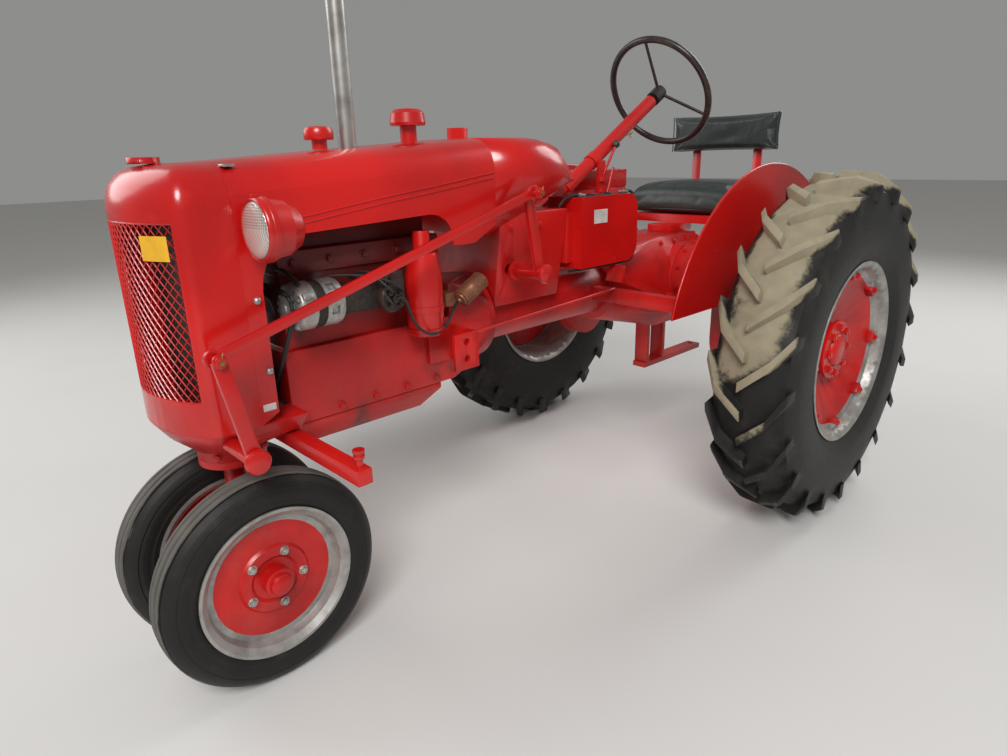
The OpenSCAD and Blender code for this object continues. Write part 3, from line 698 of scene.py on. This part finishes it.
def makeShell():  # opened behind the mesh
    shell = recast("radiator_shell", 0, 28)
    cutter = cuboid((-net["half"], -1.4, net["low"] - 0.001), (net["half"], -1.2, net["high"] + 0.001))
    modify(shell, "BOOLEAN", operation="DIFFERENCE", solver="EXACT", object=cutter)
    thrown(cutter)


makeShell()
makeGrille()

# headlamps: lens, rim and screw
lamp = {"x": 0.284, "y": -1.111, "z": 1.204, "glass": 0.0605, "dome": 0.012, "rim": 0.0675, "steps": 10}
for sideName, s in bothSides:
    x, y, z = place = (s * lamp["x"], lamp["y"], lamp["z"])
    glass = lensGlass(sideName + "LampGlass", place)
    angles = [i / lamp["steps"] * math.pi / 2 for i in range(lamp["steps"] + 1)]
    dome = [(lamp["glass"] * math.sin(a), 0.0005 + lamp["dome"] * math.cos(a)) for a in angles]
    lens = spun([(0, -0.010), (lamp["glass"], -0.010)] + dome[::-1], place, (0, -1, 0), 48)
    done(lens, sideName + "LampLens", glass, angle=50)
    r = lamp["rim"]
    rim = spun([(r - 0.007, -0.012), (r - 0.007, 0.001), (r - 0.004, 0.0035), (r, 0.001),
                (r + 0.0015, -0.004), (r + 0.0015, -0.010), (r - 0.007, -0.012)], place, (0, -1, 0), 48)
    screw = cuboid((x - 0.004, y - 0.002, z + r - 0.001), (x + 0.004, y + 0.012, z + r + 0.007), 0.001)
    done(joined([rim, screw]), sideName + "LampRim", partRed, angle=50)

# tag and plates, all blank
boxLow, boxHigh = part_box("battery_box")
tag = cuboid((0.108, -0.0006, 1.146), (0.176, 0.0006, 1.199))
divided(tag, 7)
for v in tag.data.vertices:  # follows the bow of the mesh
    v.co.y += bowY(v.co.x, net["bow"] + 0.0035)
done(tag, "grilleTag", tagYellow, angle=60)
boxPlate = cuboid((boxHigh.x - 0.001, 0.118, 1.112), (boxHigh.x + 0.0012, 0.190, 1.158), 0.0005, 1)
done(boxPlate, "boxPlate", plateWhite)
shellPlate = cuboid((0.2095, -1.119, 0.777), (0.2112, -1.087, 0.794), 0.0005, 1)
done(shellPlate, "shellPlate", plateWhite)

# seat and back pad
cover = {"quality": 5, "mass": 0.3, "pressure": 4, "frames": 20}
cushionSize = {"inset": 0.006, "bevel": 0.030, "cuts": 5, "swell": 0.006, "grain": 0.006, "hold": 0.02,
               "sideDrop": 0.022, "frontDrop": 0.030, "rearDrop": 0.016, "piping": 0.0032}
padSize = {"inset": (0.004, 0.006, 0.004), "cuts": 15, "swell": 0.007, "grain": 0.005, "hold": 0.012,
           "sideDraw": 0.010, "topDraw": 0.009, "footDraw": 0.004, "fold": 0.0022, "seam": 0.0024}


def soft(piece, held, limit, grain):  # swells like a stuffed cover, by no more than the limit
    modify(piece, "REMESH", mode="VOXEL", voxel_size=grain)
    start = [v.co.copy() for v in piece.data.vertices]
    pinned = piece.vertex_groups.new(name="held")
    pinned.add([v.index for v in piece.data.vertices if held(v.co)], 1.0, "REPLACE")
    only(piece)
    cloth = piece.modifiers.new("cover", "CLOTH").settings
    cloth.quality, cloth.mass = cover["quality"], cover["mass"]
    cloth.use_pressure, cloth.uniform_pressure_force = True, cover["pressure"]
    cloth.vertex_group_mass = "held"
    cloth.effector_weights.gravity = 0
    for step in range(1, cover["frames"] + 1):
        bpy.context.scene.frame_set(step)
    bpy.ops.object.modifier_apply(modifier="cover")
    bpy.context.scene.frame_set(1)
    for v, before in zip(piece.data.vertices, start):
        moved = v.co - before
        if moved.length > limit:
            v.co = before + moved.normalized() * limit
    modify(piece, "SMOOTH", factor=0.5, iterations=4)
    modify(piece, "SUBSURF", levels=1)


def across(value, middle, high):  # -1 to 1 over a piece
    return (value - middle) / (high - middle)


seatLow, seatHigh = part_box("seat_cushion")
seatMid = (seatLow + seatHigh) / 2
inset = cushionSize["inset"]
cushion = cuboid([c + inset for c in seatLow], [c - inset for c in seatHigh], cushionSize["bevel"], 4)
divided(cushion, cushionSize["cuts"])
for v in cushion.data.vertices:  # low edges, high crown, front rolled over
    u, w = across(v.co.x, seatMid.x, seatHigh.x), across(v.co.y, seatMid.y, seatHigh.y)
    if v.co.z > seatMid.z:
        v.co.z -= (cushionSize["sideDrop"] * u ** 4 + cushionSize["frontDrop"] * max(0, -w) ** 5
                   + cushionSize["rearDrop"] * max(0, w) ** 4)
soft(cushion, lambda p: p.z < seatLow.z + cushionSize["hold"], cushionSize["swell"], cushionSize["grain"])
done(cushion, "cushionCover", seatVinyl, bodyOf["seat_cushion"], 60)
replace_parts(cushion, "seat_cushion")
x0, x1, z = seatLow.x + 0.007, seatHigh.x - 0.007, seatLow.z + 0.022
y0, y1 = seatLow.y + 0.008, seatHigh.y - 0.008
around = [(x1, y0 + 0.03, z), (x1, y0 + 0.1, z), (x1, y1 - 0.03, z), (x1 - 0.03, y1, z), (x0 + 0.03, y1, z),
          (x0, y1 - 0.03, z), (x0, y0 + 0.03, z), (x0 + 0.03, y0, z), (x1 - 0.03, y0, z)]
piping = cord(around + around[:3], cushionSize["piping"], "cushionPiping", seatVinyl)

padLow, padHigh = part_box("back_pad")
padMid = (padLow + padHigh) / 2
pad = cuboid([c + d for c, d in zip(padLow, padSize["inset"])],
             [c - d for c, d in zip(padHigh, padSize["inset"])])
divided(pad, padSize["cuts"])
for v in pad.data.vertices:  # drawn in between the corners, thin at the rim
    u, w = across(v.co.x, padMid.x, padHigh.x), across(v.co.z, padMid.z, padHigh.z)
    v.co.x -= u * padSize["sideDraw"] * (1 - w * w)
    v.co.z -= w * padSize["topDraw"] * (1 - u * u) + padSize["footDraw"] * (1 - u * u) * (w < 0)
    full = min(1, (1 - abs(u) ** 14) * (1 - abs(w) ** 6) * 1.15 + 0.42)
    v.co.y = padMid.y + (v.co.y - padMid.y) * full
    if v.co.y < padMid.y:
        fold = math.sin(u * 46 + w * 5) * math.exp(-((u - 0.12) / 0.28) ** 2)
        v.co.y -= fold * math.exp(-((w + 0.2) / 0.45) ** 2) * padSize["fold"]
soft(pad, lambda p: p.y > padMid.y + padSize["hold"], padSize["swell"], padSize["grain"])
done(pad, "backPadCover", seatVinyl, bodyOf["back_pad"], 60)
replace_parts(pad, "back_pad")
for sideName, s in bothSides:  # seam at each end of the pad
    x, y = s * (padHigh.x - 0.006), padMid.y
    line = [(x, y - 0.014, padLow.z + 0.006), (x - s * 0.006, y - 0.019, padMid.z - 0.03),
            (x - s * 0.007, y - 0.019, padMid.z + 0.02), (x, y - 0.014, padHigh.z - 0.006)]
    seam = cord(line, padSize["seam"], sideName + "PadSeam", seatVinyl)
print("seat made")

# front tyres: ribs round the tread, stepped walls
wallCurve = [(0.297, 0), (0.297, 0.0075), (0.2955, 0.0085), (0.2855, 0.0095), (0.2855, 0.0155),
             (0.2945, 0.0165), (0.296, 0.0175), (0.2952, 0.0265), (0.2935, 0.0275), (0.284, 0.0285),
             (0.283, 0.0335), (0.2895, 0.0345), (0.2865, 0.0395), (0.278, 0.0455), (0.270, 0.0515),
             (0.262, 0.0535), (0.259, 0.0525), (0.256, 0.054), (0.240, 0.055), (0.237, 0.0543),
             (0.226, 0.0525), (0.223, 0.0535), (0.219, 0.052), (0.212, 0.0475), (0.209, 0.046),
             (0.1925, 0.042)]
bead, beadHalf = wallCurve[-1]
loop = [(r, -w) for r, w in wallCurve[::-1]] + wallCurve[1:] + [(bead, -beadHalf)]
for sideName, s in bothSides:
    tyre = spun(loop, hubPlace("front", s), (s, 0, 0), 96)
    done(tyre, sideName + "FrontTyre", frontRubber, bodyOf["front_tyre_" + sideName], 28)
    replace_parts(tyre, "front_tyre_" + sideName)
print("front tyres made")

# belt and pulleys in front of the engine: x, z and radius of each
engine = {"front": ahead(1.8), "belt": -1.021, "crank": (0, 0.79, 0.058), "fan": (0, 1.01, 0.044),
          "charge": (0.175, 1.005, 0.031), "beltWide": 0.010, "beltThick": 0.006}


def leftTurn(o, a, b):
    return (a[0] - o[0]) * (b[1] - o[1]) - (a[1] - o[1]) * (b[0] - o[0])


def beltLoop(circles, y, wide, thick, name):  # belt drawn tight round its pulleys
    dots = [(x + r * math.cos(a * math.pi / 18), z + r * math.sin(a * math.pi / 18)) for x, z, r in circles
            for a in range(36)]
    dots = sorted(set((round(x, 6), round(z, 6)) for x, z in dots))
    chain = []
    for run in (dots, dots[::-1]):
        part = []
        for dot in run:
            while len(part) > 1 and leftTurn(part[-2], part[-1], dot) <= 0:
                part.pop()
            part.append(dot)
        chain += part[:-1]
    belt = wired([(x, y, z) for x, z in chain], [(i, (i + 1) % len(chain)) for i in range(len(chain))])
    editAll(belt)
    bpy.ops.mesh.extrude_region_move(TRANSFORM_OT_translate={"value": (0, wide, 0)})
    bpy.ops.mesh.select_all(action="SELECT")
    bpy.ops.mesh.normals_make_consistent(inside=False)
    editEnd()
    modify(belt, "SOLIDIFY", thickness=thick, offset=1)
    tidy(belt)
    done(belt, name, blackRubber, angle=30)


def pulley(x, z, r, name):
    side = [(0, 0), (r + 0.008, 0), (r + 0.008, 0.0015), (r - 0.003, 0.007), (r + 0.008, 0.0125),
            (r + 0.008, 0.014), (r * 0.5, 0.014), (r * 0.5, 0.010), (0, 0.010)]
    done(spun(side, (x, engine["belt"] + 0.014, z), (0, -1, 0), 40), name, blackPaint)


pulley(*engine["crank"], "crankPulley")
pulley(*engine["fan"], "fanPulley")
beltLoop([engine["crank"], engine["fan"], engine["charge"]], engine["belt"] + 0.002, engine["beltWide"],
         engine["beltThick"], "fanBelt")

# alternator: case with slots cut round it, dark core, ears, bolts and arm
alternator = {"place": Vector((0.175, engine["front"] - 0.0155, 1.005)), "slots": 12, "ears": (60, 240),
              "boltRing": 0.052, "boltAngles": (0.5, 2.07, 3.64, 5.21)}
caseShape = [(0, 0), (0.010, 0), (0.010, 0.003), (0.036, 0.003), (0.039, 0.0035), (0.031, 0.0075),
             (0.039, 0.0115), (0.036, 0.012), (0.020, 0.012), (0.020, 0.0155), (0.046, 0.017), (0.054, 0.020),
             (0.0585, 0.026), (0.0598, 0.034), (0.0598, 0.062), (0.056, 0.0625), (0.056, 0.087),
             (0.0598, 0.0875), (0.0598, 0.128), (0.056, 0.138), (0.044, 0.145), (0.030, 0.146), (0.028, 0.152),
             (0, 0.152)]
c = alternator["place"]


def roundShaft(block, degrees, back=0.0):  # turned about the shaft, so far back along it
    shaft = Matrix.Translation(c + Vector((0, back, 0))) @ turned(-90, "X")
    return placed(block, shaft @ turned(degrees, "Z"))


slots = []
for i in range(alternator["slots"]):
    degrees = 360 / alternator["slots"] * i
    slots.append(roundShaft(cuboid((0.030, -0.0042, -0.01), (0.050, 0.0042, 0.034), 0.0015), degrees))
    if i % 2 == 0:
        slots.append(roundShaft(cuboid((0.048, -0.011, 0.098), (0.08, 0.011, 0.120), 0.002), degrees + 12))
case, cutter = spun(caseShape, c, (0, 1, 0), 72), joined(slots)
modify(case, "BOOLEAN", operation="DIFFERENCE", solver="EXACT", object=cutter)
thrown(cutter)
foot = cuboid((0.0955, c.y + 0.052, 0.993), (0.128, c.y + 0.112, 1.017), 0.003)
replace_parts(done(joined([case, foot]), "alternator.made", bareAlloy, bodyOf["alternator"]), "alternator")
done(spun(band(0.0562, 0.0585, 0.0865, 0.063), c, (0, 1, 0), 60), "alternatorCore", darkIron)
ears = [roundShaft(cuboid((-0.008, 0.052, -0.004), (0.008, 0.066, 0.024), 0.003), degrees, 0.03)
        for degrees in alternator["ears"]]
done(joined(ears), "alternatorEars", bareAlloy)
r = alternator["boltRing"]
done(copied(smallBolt, [(c + Vector((r * math.cos(a), 0.0205, r * math.sin(a))), (0, -1, 0))
                        for a in alternator["boltAngles"]]), "alternatorBolts", boltSteel)
cord([(0.10, c.y + 0.03, 1.085), (0.135, c.y + 0.028, 1.095), (0.175, c.y + 0.028, 1.083),
      (0.205, c.y + 0.03, 1.062)], 0.006, "tensionArm", blackPaint)

# fan with twisted blades
fan = {"blades": 4, "root": 0.018, "reach": 0.121, "half": 0.022, "thick": 0.0012, "z": 1.01}
hubShape = [(0, 0), (0.026, 0), (0.028, 0.002), (0.028, 0.020), (0.034, 0.021), (0.034, 0.024), (0.020, 0.024),
            (0.020, 0.058), (0, 0.058)]
fanHub = spun(hubShape, (0, engine["front"] - 0.0395, fan["z"]), (0, 1, 0), 32)
blades = []
for i in range(fan["blades"]):
    blade = cuboid((fan["root"], -fan["half"], -fan["thick"]),
                   (fan["root"] + fan["reach"], fan["half"], fan["thick"]))
    divided(blade, 5)
    for v in blade.data.vertices:
        far = (v.co.x - fan["root"]) / fan["reach"]
        v.co.y *= 0.75 + 0.25 * far
        v.co.z += v.co.y * (0.42 - 0.15 * far) + 0.002 * math.cos(v.co.y * 60)
    blades.append(placed(blade, Matrix.Translation((0, engine["front"] - 0.029, fan["z"]))
                         @ turned(360 / fan["blades"] * i, "Y") @ turned(-90, "X")))
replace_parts(done(joined([fanHub] + blades), "fan.made", blackPaint, bodyOf["fan"]), "fan")

# hoses between the engine and the radiator
hose = {"upper": 0.024, "lower": 0.018, "clip": 0.003, "clipWide": 0.010}
cord([(0, -0.992, 1.115), (0, -1.005, 1.12), (0, -1.03, 1.14), (0, -1.075, 1.165), (0, -1.105, 1.178),
      (0, -1.125, 1.18)], hose["upper"], "upperHose", blackRubber, sides=16)
cord([(0.10, -0.998, 0.727), (0.10, -1.015, 0.727), (0.10, -1.04, 0.735), (0.10, -1.075, 0.785),
      (0.10, -1.105, 0.802), (0.10, -1.125, 0.804)], hose["lower"], "lowerHose", blackRubber, sides=16)
for name, place, way in (("upper", (0, -1.098, 1.1755), (0, -1, 0.3)),
                         ("lower", (0.10, -1.103, 0.8015), (0, -1, 0.1))):
    r = hose[name] + hose["clip"] / 2
    done(spun(band(r - hose["clip"], r, hose["clipWide"]), place, way, 32), name + "HoseClip", boltSteel)

# distributor cap with a tower for each plug lead
distributor = {"place": (0.1602, ahead(1.512), 0.987), "towerRing": 0.023, "lead": 0.0035,
               "plugs": (-0.90, 0.11)}
base = [(0, 0), (0.034, 0), (0.034, 0.008), (0.030, 0.010), (0.030, 0.016), (0.041, 0.018), (0.042, 0.024),
        (0.040, 0.034), (0.034, 0.040), (0.013, 0.041), (0.012, 0.052), (0, 0.052)]
towerShape = [(0, 0.03), (0.0075, 0.03), (0.007, 0.052), (0.0052, 0.053), (0, 0.053)]
x, y, z = distributor["place"]
towers = [(x, y + distributor["towerRing"] * math.cos(a), z + distributor["towerRing"] * math.sin(a))
          for a in (math.pi / 4 + i * math.pi / 2 for i in range(4))]
done(joined([spun(base, (x, y, z), (1, 0, 0), 40)] + [spun(towerShape, p, (1, 0, 0), 16) for p in towers]),
     "distributorCap", capPlastic)
for i, (px, py, pz) in enumerate(towers[:3]):
    plugY = distributor["plugs"][0] + distributor["plugs"][1] * i
    cord([(px + 0.050, py, pz), (px + 0.066, py, pz + 0.004), (px + 0.060, py - 0.02 - 0.01 * i, pz + 0.03),
          (0.165, (py + plugY) / 2, 1.062), (0.135, plugY + 0.01, 1.062), (0.098, plugY, 1.045)],
         distributor["lead"], f"plugLead{i + 1}", blackRubber)

# coil, its lead, and the bands of the air cleaner
coil = {"place": Vector((0.175, ahead(1.27), 0.935)), "lean": math.radians(60), "lead": 0.0042}
can = [(0, 0.0), (0.004, 0.0), (0.006, 0.001), (0.008, 0.006), (0.021, 0.008), (0.022, 0.012), (0.028, 0.014),
       (0.028, 0.020), (0.0265, 0.0215), (0.028, 0.023), (0.028, 0.052), (0.0285, 0.053), (0.0285, 0.074),
       (0.028, 0.075), (0.028, 0.106), (0.024, 0.110), (0, 0.110)]
coilAim = Vector((0, math.sin(coil["lean"]), math.cos(coil["lean"])))
coilClip = cuboid((0.0955, ahead(1.305), 0.921), (0.160, ahead(1.262), 0.961), 0.003)
coilMade = done(joined([spun(can, coil["place"], coilAim, 48), coilClip]), "ignition_coil.made", coilBrown,
                bodyOf["ignition_coil"])
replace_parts(coilMade, "ignition_coil")
tip, capY = coil["place"] - coilAim * 0.002, distributor["place"][1]
cord([tip, tip - coilAim * 0.008, (0.190, tip.y - 0.03, tip.z - 0.012),
      (0.212, tip.y - 0.07, tip.z - 0.048), (0.226, tip.y - 0.12, tip.z - 0.066),
      (0.234, tip.y - 0.17, tip.z - 0.055), (0.232, tip.y - 0.215, tip.z - 0.01),
      (0.222, capY + 0.02, 1.0), (0.2135, capY, 0.987)], coil["lead"], "coilLead", blackRubber)
bands = [spun(band(0.0535, outer, high), (0.171, ahead(1.39), z), (0, 0, 1), 48)
         for outer, high, z in ((0.0555, 0.016, 0.93), (0.0565, 0.006, 0.876))]
done(joined(bands), "cleanerBands", partRed)
print("engine dressed")

# hood: beads, catch and breather cap
beadLine = {"half": 0.007, "radius": 0.0028, "proud": 0.0002, "path": (
    (-1.112, 1.199), (-1.06, 1.2), (-1.0, 1.206), (-0.9, 1.22), (-0.8, 1.234), (-0.7, 1.247), (-0.6, 1.257),
    (-0.5, 1.27), (-0.4, 1.283), (-0.354, 1.289))}


def sideX(piece, y, z, s):  # how far out the piece's side stands there
    hit, place, normal, index = piece.ray_cast((s * 0.6, y, z), (-s, 0, 0))
    return place.x if hit else s * 0.21


bpy.context.view_layer.update()
for sideName, s in bothSides:
    for rowName, up in (("Upper", beadLine["half"]), ("Lower", -beadLine["half"])):
        line = [(sideX(recasts["hood"], y, z + up, s) + s * beadLine["proud"], y, z + up)
                for y, z in beadLine["path"]]
        cord(line, beadLine["radius"], sideName + "Bead" + rowName, sheetRed)
done(cuboid((0.150, -1.118, 1.333), (0.178, -1.092, 1.339), 0.0015), "hoodCatch", boltSteel)
breather = [(0, -0.02), (0.020, -0.02), (0.020, 0.004), (0.037, 0.004), (0.0385, 0.008), (0.0385, 0.026),
            (0.034, 0.034), (0.020, 0.038), (0, 0.039)]
done(spun(breather, (0, ahead(1.575), 1.388), (0, 0, 1), 40), "breatherCap", partRed)

# pins, cotters, shaft caps and collar of the lift
lift = {"lean": math.radians(11), "arm": 0.245, "rear": (ahead(1.028), 0.997),
        "front": (ahead(1.993), 0.714)}
pinNut = [(0, 0), (0.016, 0), (0.016, 0.003), (0.012, 0.004), (0.012, 0.010), (0.009, 0.011), (0.009, 0.014),
          (0, 0.0145)]
pinBolt = [(0, 0), (0.0055, 0), (0.005, 0.004), (0, 0.005)]
shaftCap = [(0, 0), (0.030, 0), (0.030, 0.006), (0.026, 0.013), (0.016, 0.017), (0, 0.018)]
for end, x, capX in (("rear", 0.3225, 0.300), ("front", 0.3285, 0.3285)):
    body = bodyOf["lift_arm_" + end]
    y = lift[end][0] - lift["arm"] * math.sin(lift["lean"])
    z = lift[end][1] + lift["arm"] * math.cos(lift["lean"])
    done(spun(pinNut, (x - 0.001, y, z), (1, 0, 0), 24), end + "PinEnd", partRed, body)
    done(spun(pinBolt, (x + 0.0125, y, z), (1, 0, 0), 16), end + "PinEndBolt", brassy, body)
    cord([(x + 0.011, y - 0.004, z - 0.013), (x + 0.0125, y, z), (x + 0.0125, y + 0.001, z + 0.012),
          (x + 0.010, y + 0.006, z + 0.019)], 0.0013, end + "PinEndCotter", brassy, body)
    done(spun(shaftCap, (capX, *lift[end]), (1, 0, 0), 36), end + "ShaftCap", partRed, body)
collar = [(0.0193, 0), (0.030, 0), (0.032, 0.003), (0.032, 0.010), (0.0193, 0.010), (0.0193, 0)]
done(spun(collar, (0.1705, *lift["rear"]), (1, 0, 0), 36), "rearShaftCollar", castRed)
print("linkage dressed")

# battery box with rounded rear corners, the battery and its cables
cellLow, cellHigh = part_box("battery")
corner = {"box": 0.056, "cell": 0.050, "sheet": 0.004, "rise": 0.018, "cable": 0.0055}
box = cuboid((boxLow.x, boxLow.y + 0.030, boxLow.z), (boxHigh.x, boxHigh.y, boxHigh.z + corner["rise"]))
pick(box, lambda p, d: abs(d.x) > 0.1 and p.y > boxHigh.y - 0.001, "EDGE")
bpy.ops.mesh.bevel(offset=corner["box"], segments=8, affect="EDGES")
editEnd()
pick(box, lambda p, n: n.z > 0.2)
bpy.ops.mesh.delete(type="FACE")
editEnd()
modify(box, "SOLIDIFY", thickness=corner["sheet"], offset=-1)
mountBlock = cuboid((boxLow.x + 0.01, boxLow.y, boxLow.z + 0.02),
                    (boxLow.x + 0.11, boxLow.y + 0.031, boxLow.z + 0.19), 0.003)
box = done(joined([box, mountBlock]), "battery_box.made", sheetRed, bodyOf["battery_box"])
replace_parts(box, "battery_box")
cell = cuboid(cellLow, cellHigh)
pick(cell, lambda p, d: abs(d.x) > 0.1 and p.y > cellHigh.y - 0.001 and p.z < cellLow.z + 0.001, "EDGE")
bpy.ops.mesh.bevel(offset=corner["cell"], segments=6, affect="EDGES")
editEnd()
modify(cell, "BEVEL", width=0.003, segments=2, limit_method="ANGLE")
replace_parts(done(cell, "battery.made", batteryBlack, bodyOf["battery"]), "battery")
cellTop, px = cellHigh.z, cellHigh.x - 0.030
capShape = [(0, 0), (0.012, 0), (0.012, 0.006), (0.010, 0.008), (0, 0.008)]
capX = (cellLow.x + cellHigh.x) / 2 - 0.012
caps = [spun(capShape, (capX, cellLow.y + 0.05 + i * 0.1, cellTop - 0.0005), (0, 0, 1), 20) for i in range(3)]
done(joined(caps), "batteryCaps", batteryBlack)
postYs = (cellLow.y + 0.03, cellHigh.y - 0.03)
posts = [spun([(0, 0), (0.010, 0), (0.009, 0.016), (0, 0.017)], (px, y, cellTop - 0.0005), (0, 0, 1), 20)
         for y in postYs]
clips = [cuboid((px - 0.014, y - 0.014, cellTop + 0.003), (px + 0.014, y + 0.014, cellTop + 0.013), 0.003)
         for y in postYs]
done(joined(posts + clips), "batteryPosts", boltSteel)
top, rear = cellTop + 0.010, boxHigh.y + 0.0075
cord([(px, cellLow.y + 0.02, top), (px - 0.01, cellLow.y - 0.01, top),
      (px - 0.02, boxLow.y - 0.012, top - 0.012), (px - 0.03, boxLow.y - 0.02, top - 0.05),
      (px - 0.04, boxLow.y - 0.012, top - 0.09)], corner["cable"], "frontCable", blackRubber)
cord([(px, cellHigh.y - 0.02, top), (px + 0.004, cellHigh.y + 0.005, top + 0.002),
      (px + 0.012, boxHigh.y - 0.004, top - 0.006), (px + 0.016, rear, top - 0.03),
      (px + 0.016, rear + 0.001, top - 0.08), (px + 0.016, rear, 1.06), (px + 0.016, rear, 1.0),
      (px + 0.014, rear - 0.004, 0.963), (px + 0.012, boxHigh.y - 0.03, 0.9575),
      (px + 0.01, boxHigh.y - 0.15, 0.9575), (px + 0.006, boxLow.y + 0.05, 0.9575),
      (px, boxLow.y + 0.006, 0.9575)], corner["cable"], "rearCable", blackRubber)
cableClip = cuboid((px + 0.006, rear - 0.0075, 1.04), (px + 0.026, rear + 0.008, 1.052), 0.002)
done(cableClip, "cableClip", blackPaint)

# tool boxes, levers and collars behind the tank
blocks = (((-0.190, 0.234, 1.132), (-0.042, 0.634, 1.206), 0.004),  # low, high, bevel
          ((-0.186, 0.238, 1.205), (-0.046, 0.630, 1.211), 0.001),
          ((-0.190, 0.234, 1.210), (-0.042, 0.634, 1.278), 0.004),
          ((-0.105, 0.56, 1.004), (-0.075, 0.59, 1.134), 0.003),
          ((-0.105, 0.40, 1.004), (-0.075, 0.43, 1.134), 0.003))
done(joined([cuboid(*block) for block in blocks]), "toolBoxes", sheetRed)
knob = [(0, -0.015), (0.009, -0.012), (0.0145, -0.004), (0.015, 0.002), (0.011, 0.011), (0, 0.015)]
done(spun(knob, (0.036, 0.452, 1.372), (0, 0.6, 0.8), 24), "leverKnob", wheelBlack)
cord([(0.028, 0.372, 1.24), (0.030, 0.385, 1.262), (0.034, 0.43, 1.335), (0.036, 0.446, 1.362)], 0.005,
     "clutchLever", partRed)
cord([(0.028, 0.366, 1.13), (0.045, 0.37, 1.15), (0.05, 0.39, 1.2), (0.048, 0.41, 1.26), (0.05, 0.42, 1.29)],
     0.005, "throttleRod", partRed)
collars = [spun(band(0.011, 0.019, 0.016), (0.028, 0.374, z), (0, 0, 1), 24) for z in (1.10, 1.20, 1.24)]
done(joined(collars), "postCollars", partRed)
cord([(0.0, 0.52, 1.405), (0.012, 0.54, 1.40), (0.016, 0.575, 1.412), (0.010, 0.60, 1.425),
      (-0.004, 0.612, 1.418), (-0.012, 0.60, 1.402), (-0.004, 0.588, 1.396), (0.006, 0.6, 1.402)], 0.0016,
     "pullWire", brassy)
print("driver's place dressed")

# rolled edges of the fenders
roll = {"x": 0.502, "radius": 0.6565, "start": 15.8, "sweep": 148.4, "steps": 40, "thick": 0.0045}
rearY, rearZ = spots["rearAxle"], spots["rearHub"][1]
arc = [math.radians(roll["start"] + i * roll["sweep"] / roll["steps"]) for i in range(roll["steps"] + 1)]
for sideName, s in bothSides:
    cord([(s * roll["x"], rearY + roll["radius"] * math.cos(a), rearZ + roll["radius"] * math.sin(a))
          for a in arc], roll["thick"], sideName + "FenderRoll", sheetRed)

# rows of bolts: template, places, way out, finish
left, halfTurn = (1, 0, 0), [math.pi + i * math.pi / 5 for i in range(6)]
rowsOfBolts = {
    "panRailBolts": (midBolt, [(0.1185, -0.97 + 0.11 * i, 0.70) for i in range(5)], left, engineRed),
    "headSideBolts": (midBolt, [(0.1055, -0.95 + 0.105 * i, 1.10) for i in range(5)], left, engineRed),
    "sheetBolts": (domeBolt, [(0.2098, -1.098, 1.042), (0.2098, -1.091, 0.873)], left, boltSteel),
    "supportBolts": (smallBolt, [(0.1702, y, z) for z in (1.13, 0.98) for y in (-0.25, -0.12)], left,
                     castRed),
    "pedestalBolts": (midBolt, [(x, y, 0.7) for x in (-0.07, 0.07) for y in (-1.08, -1.2)], (0, 0, -1),
                      castRed),
    "gearboxTopBolts": (midBolt, [(0.12, 0.66 + 0.09 * i, 0.985) for i in range(4)], (0.3, 0, 1), castRed)}
for name, (template, places, way, skin) in rowsOfBolts.items():
    done(copied(template, [(place, way) for place in places]), name, skin)
done(copied(midBolt, [((s * 0.4565, rearY + 0.105 * math.cos(a), rearZ + 0.105 * math.sin(a)), (s, 0, 0))
                      for s in (1, -1) for a in halfTurn]), "finalDriveBolts", castRed)
done(copied(smallBolt, [((s * 0.5042, y, z), (s, 0, 0)) for s in (1, -1) for z in (0.98, 1.04)
                        for y in (0.78, 0.86)]), "fenderBolts", castRed)
quarters = [math.radians(45 + 90 * i) for i in range(4)]
done(copied(midBolt, [((0.0845 * math.cos(a), frontAxleY + 0.0845 * math.sin(a), 0.634),
                       (math.cos(a), math.sin(a), 0)) for a in quarters]), "pedestalCollarBolts", castRed)

# small fittings
petcock = [(0, 0), (0.006, 0), (0.006, 0.014), (0.009, 0.015), (0.009, 0.022), (0, 0.023)]
done(spun(petcock, (0.1702, -0.150, 1.031), (1, 0, 0), 20), "petcock", brassy)
cord([(0.189, -0.165, 1.038), (0.190, -0.150, 1.031), (0.189, -0.133, 1.024)], 0.003, "petcockHandle", brassy)
cord([(0.2, -0.475, 0.836), (0.2, -0.24, 0.846), (0.2, 0.0, 0.857), (0.2, 0.248, 0.868)], 0.0055, "brakeRod",
     castRed)
pin = [(0, 0), (0.008, 0), (0.008, 0.022), (0.013, 0.023), (0.013, 0.030), (0.010, 0.031), (0.010, 0.036),
       (0.014, 0.037), (0.014, 0.044), (0, 0.045)]
done(spun(pin, (0.470, -1.029, 0.6875), (0, 0, 1), 24), "toolBarPin", partRed)
column = {"slope": math.radians(31), "top": Vector((0, ahead(0.018), 1.567)), "inner": 0.0188,
          "outer": 0.0255}
down = Vector((0, -math.cos(column["slope"]), -math.sin(column["slope"])))
inner, outer, edge = column["inner"], column["outer"], 0.001
for name, start, long in (("columnSleeve", 0.066, 0.403), ("columnLowerSleeve", 0.507, 0.17)):
    tube = [(inner, 0), (outer - edge, 0), (outer, edge), (outer, long - edge), (outer - edge, long),
            (inner, long), (inner, 0)]
    done(spun(tube, column["top"] + down * start, down, 40), name, partRed)
for template in (bigBolt, midBolt, smallBolt, domeBolt):
    thrown(template)
print("small fittings placed")

# floor
fresh()
bpy.ops.mesh.primitive_plane_add(size=60, location=(0, 0, 0))
floor = bpy.context.object
floor.name = "floor"
paper = Finish("floorPaper")
paper.finish(paper.mix(paper.noise(1.5, 3), (0.70, 0.69, 0.67), (0.66, 0.65, 0.63)), 0.85)
floor.data.materials.append(paper.data)
bpy.context.scene.view_settings.view_transform = "Standard"
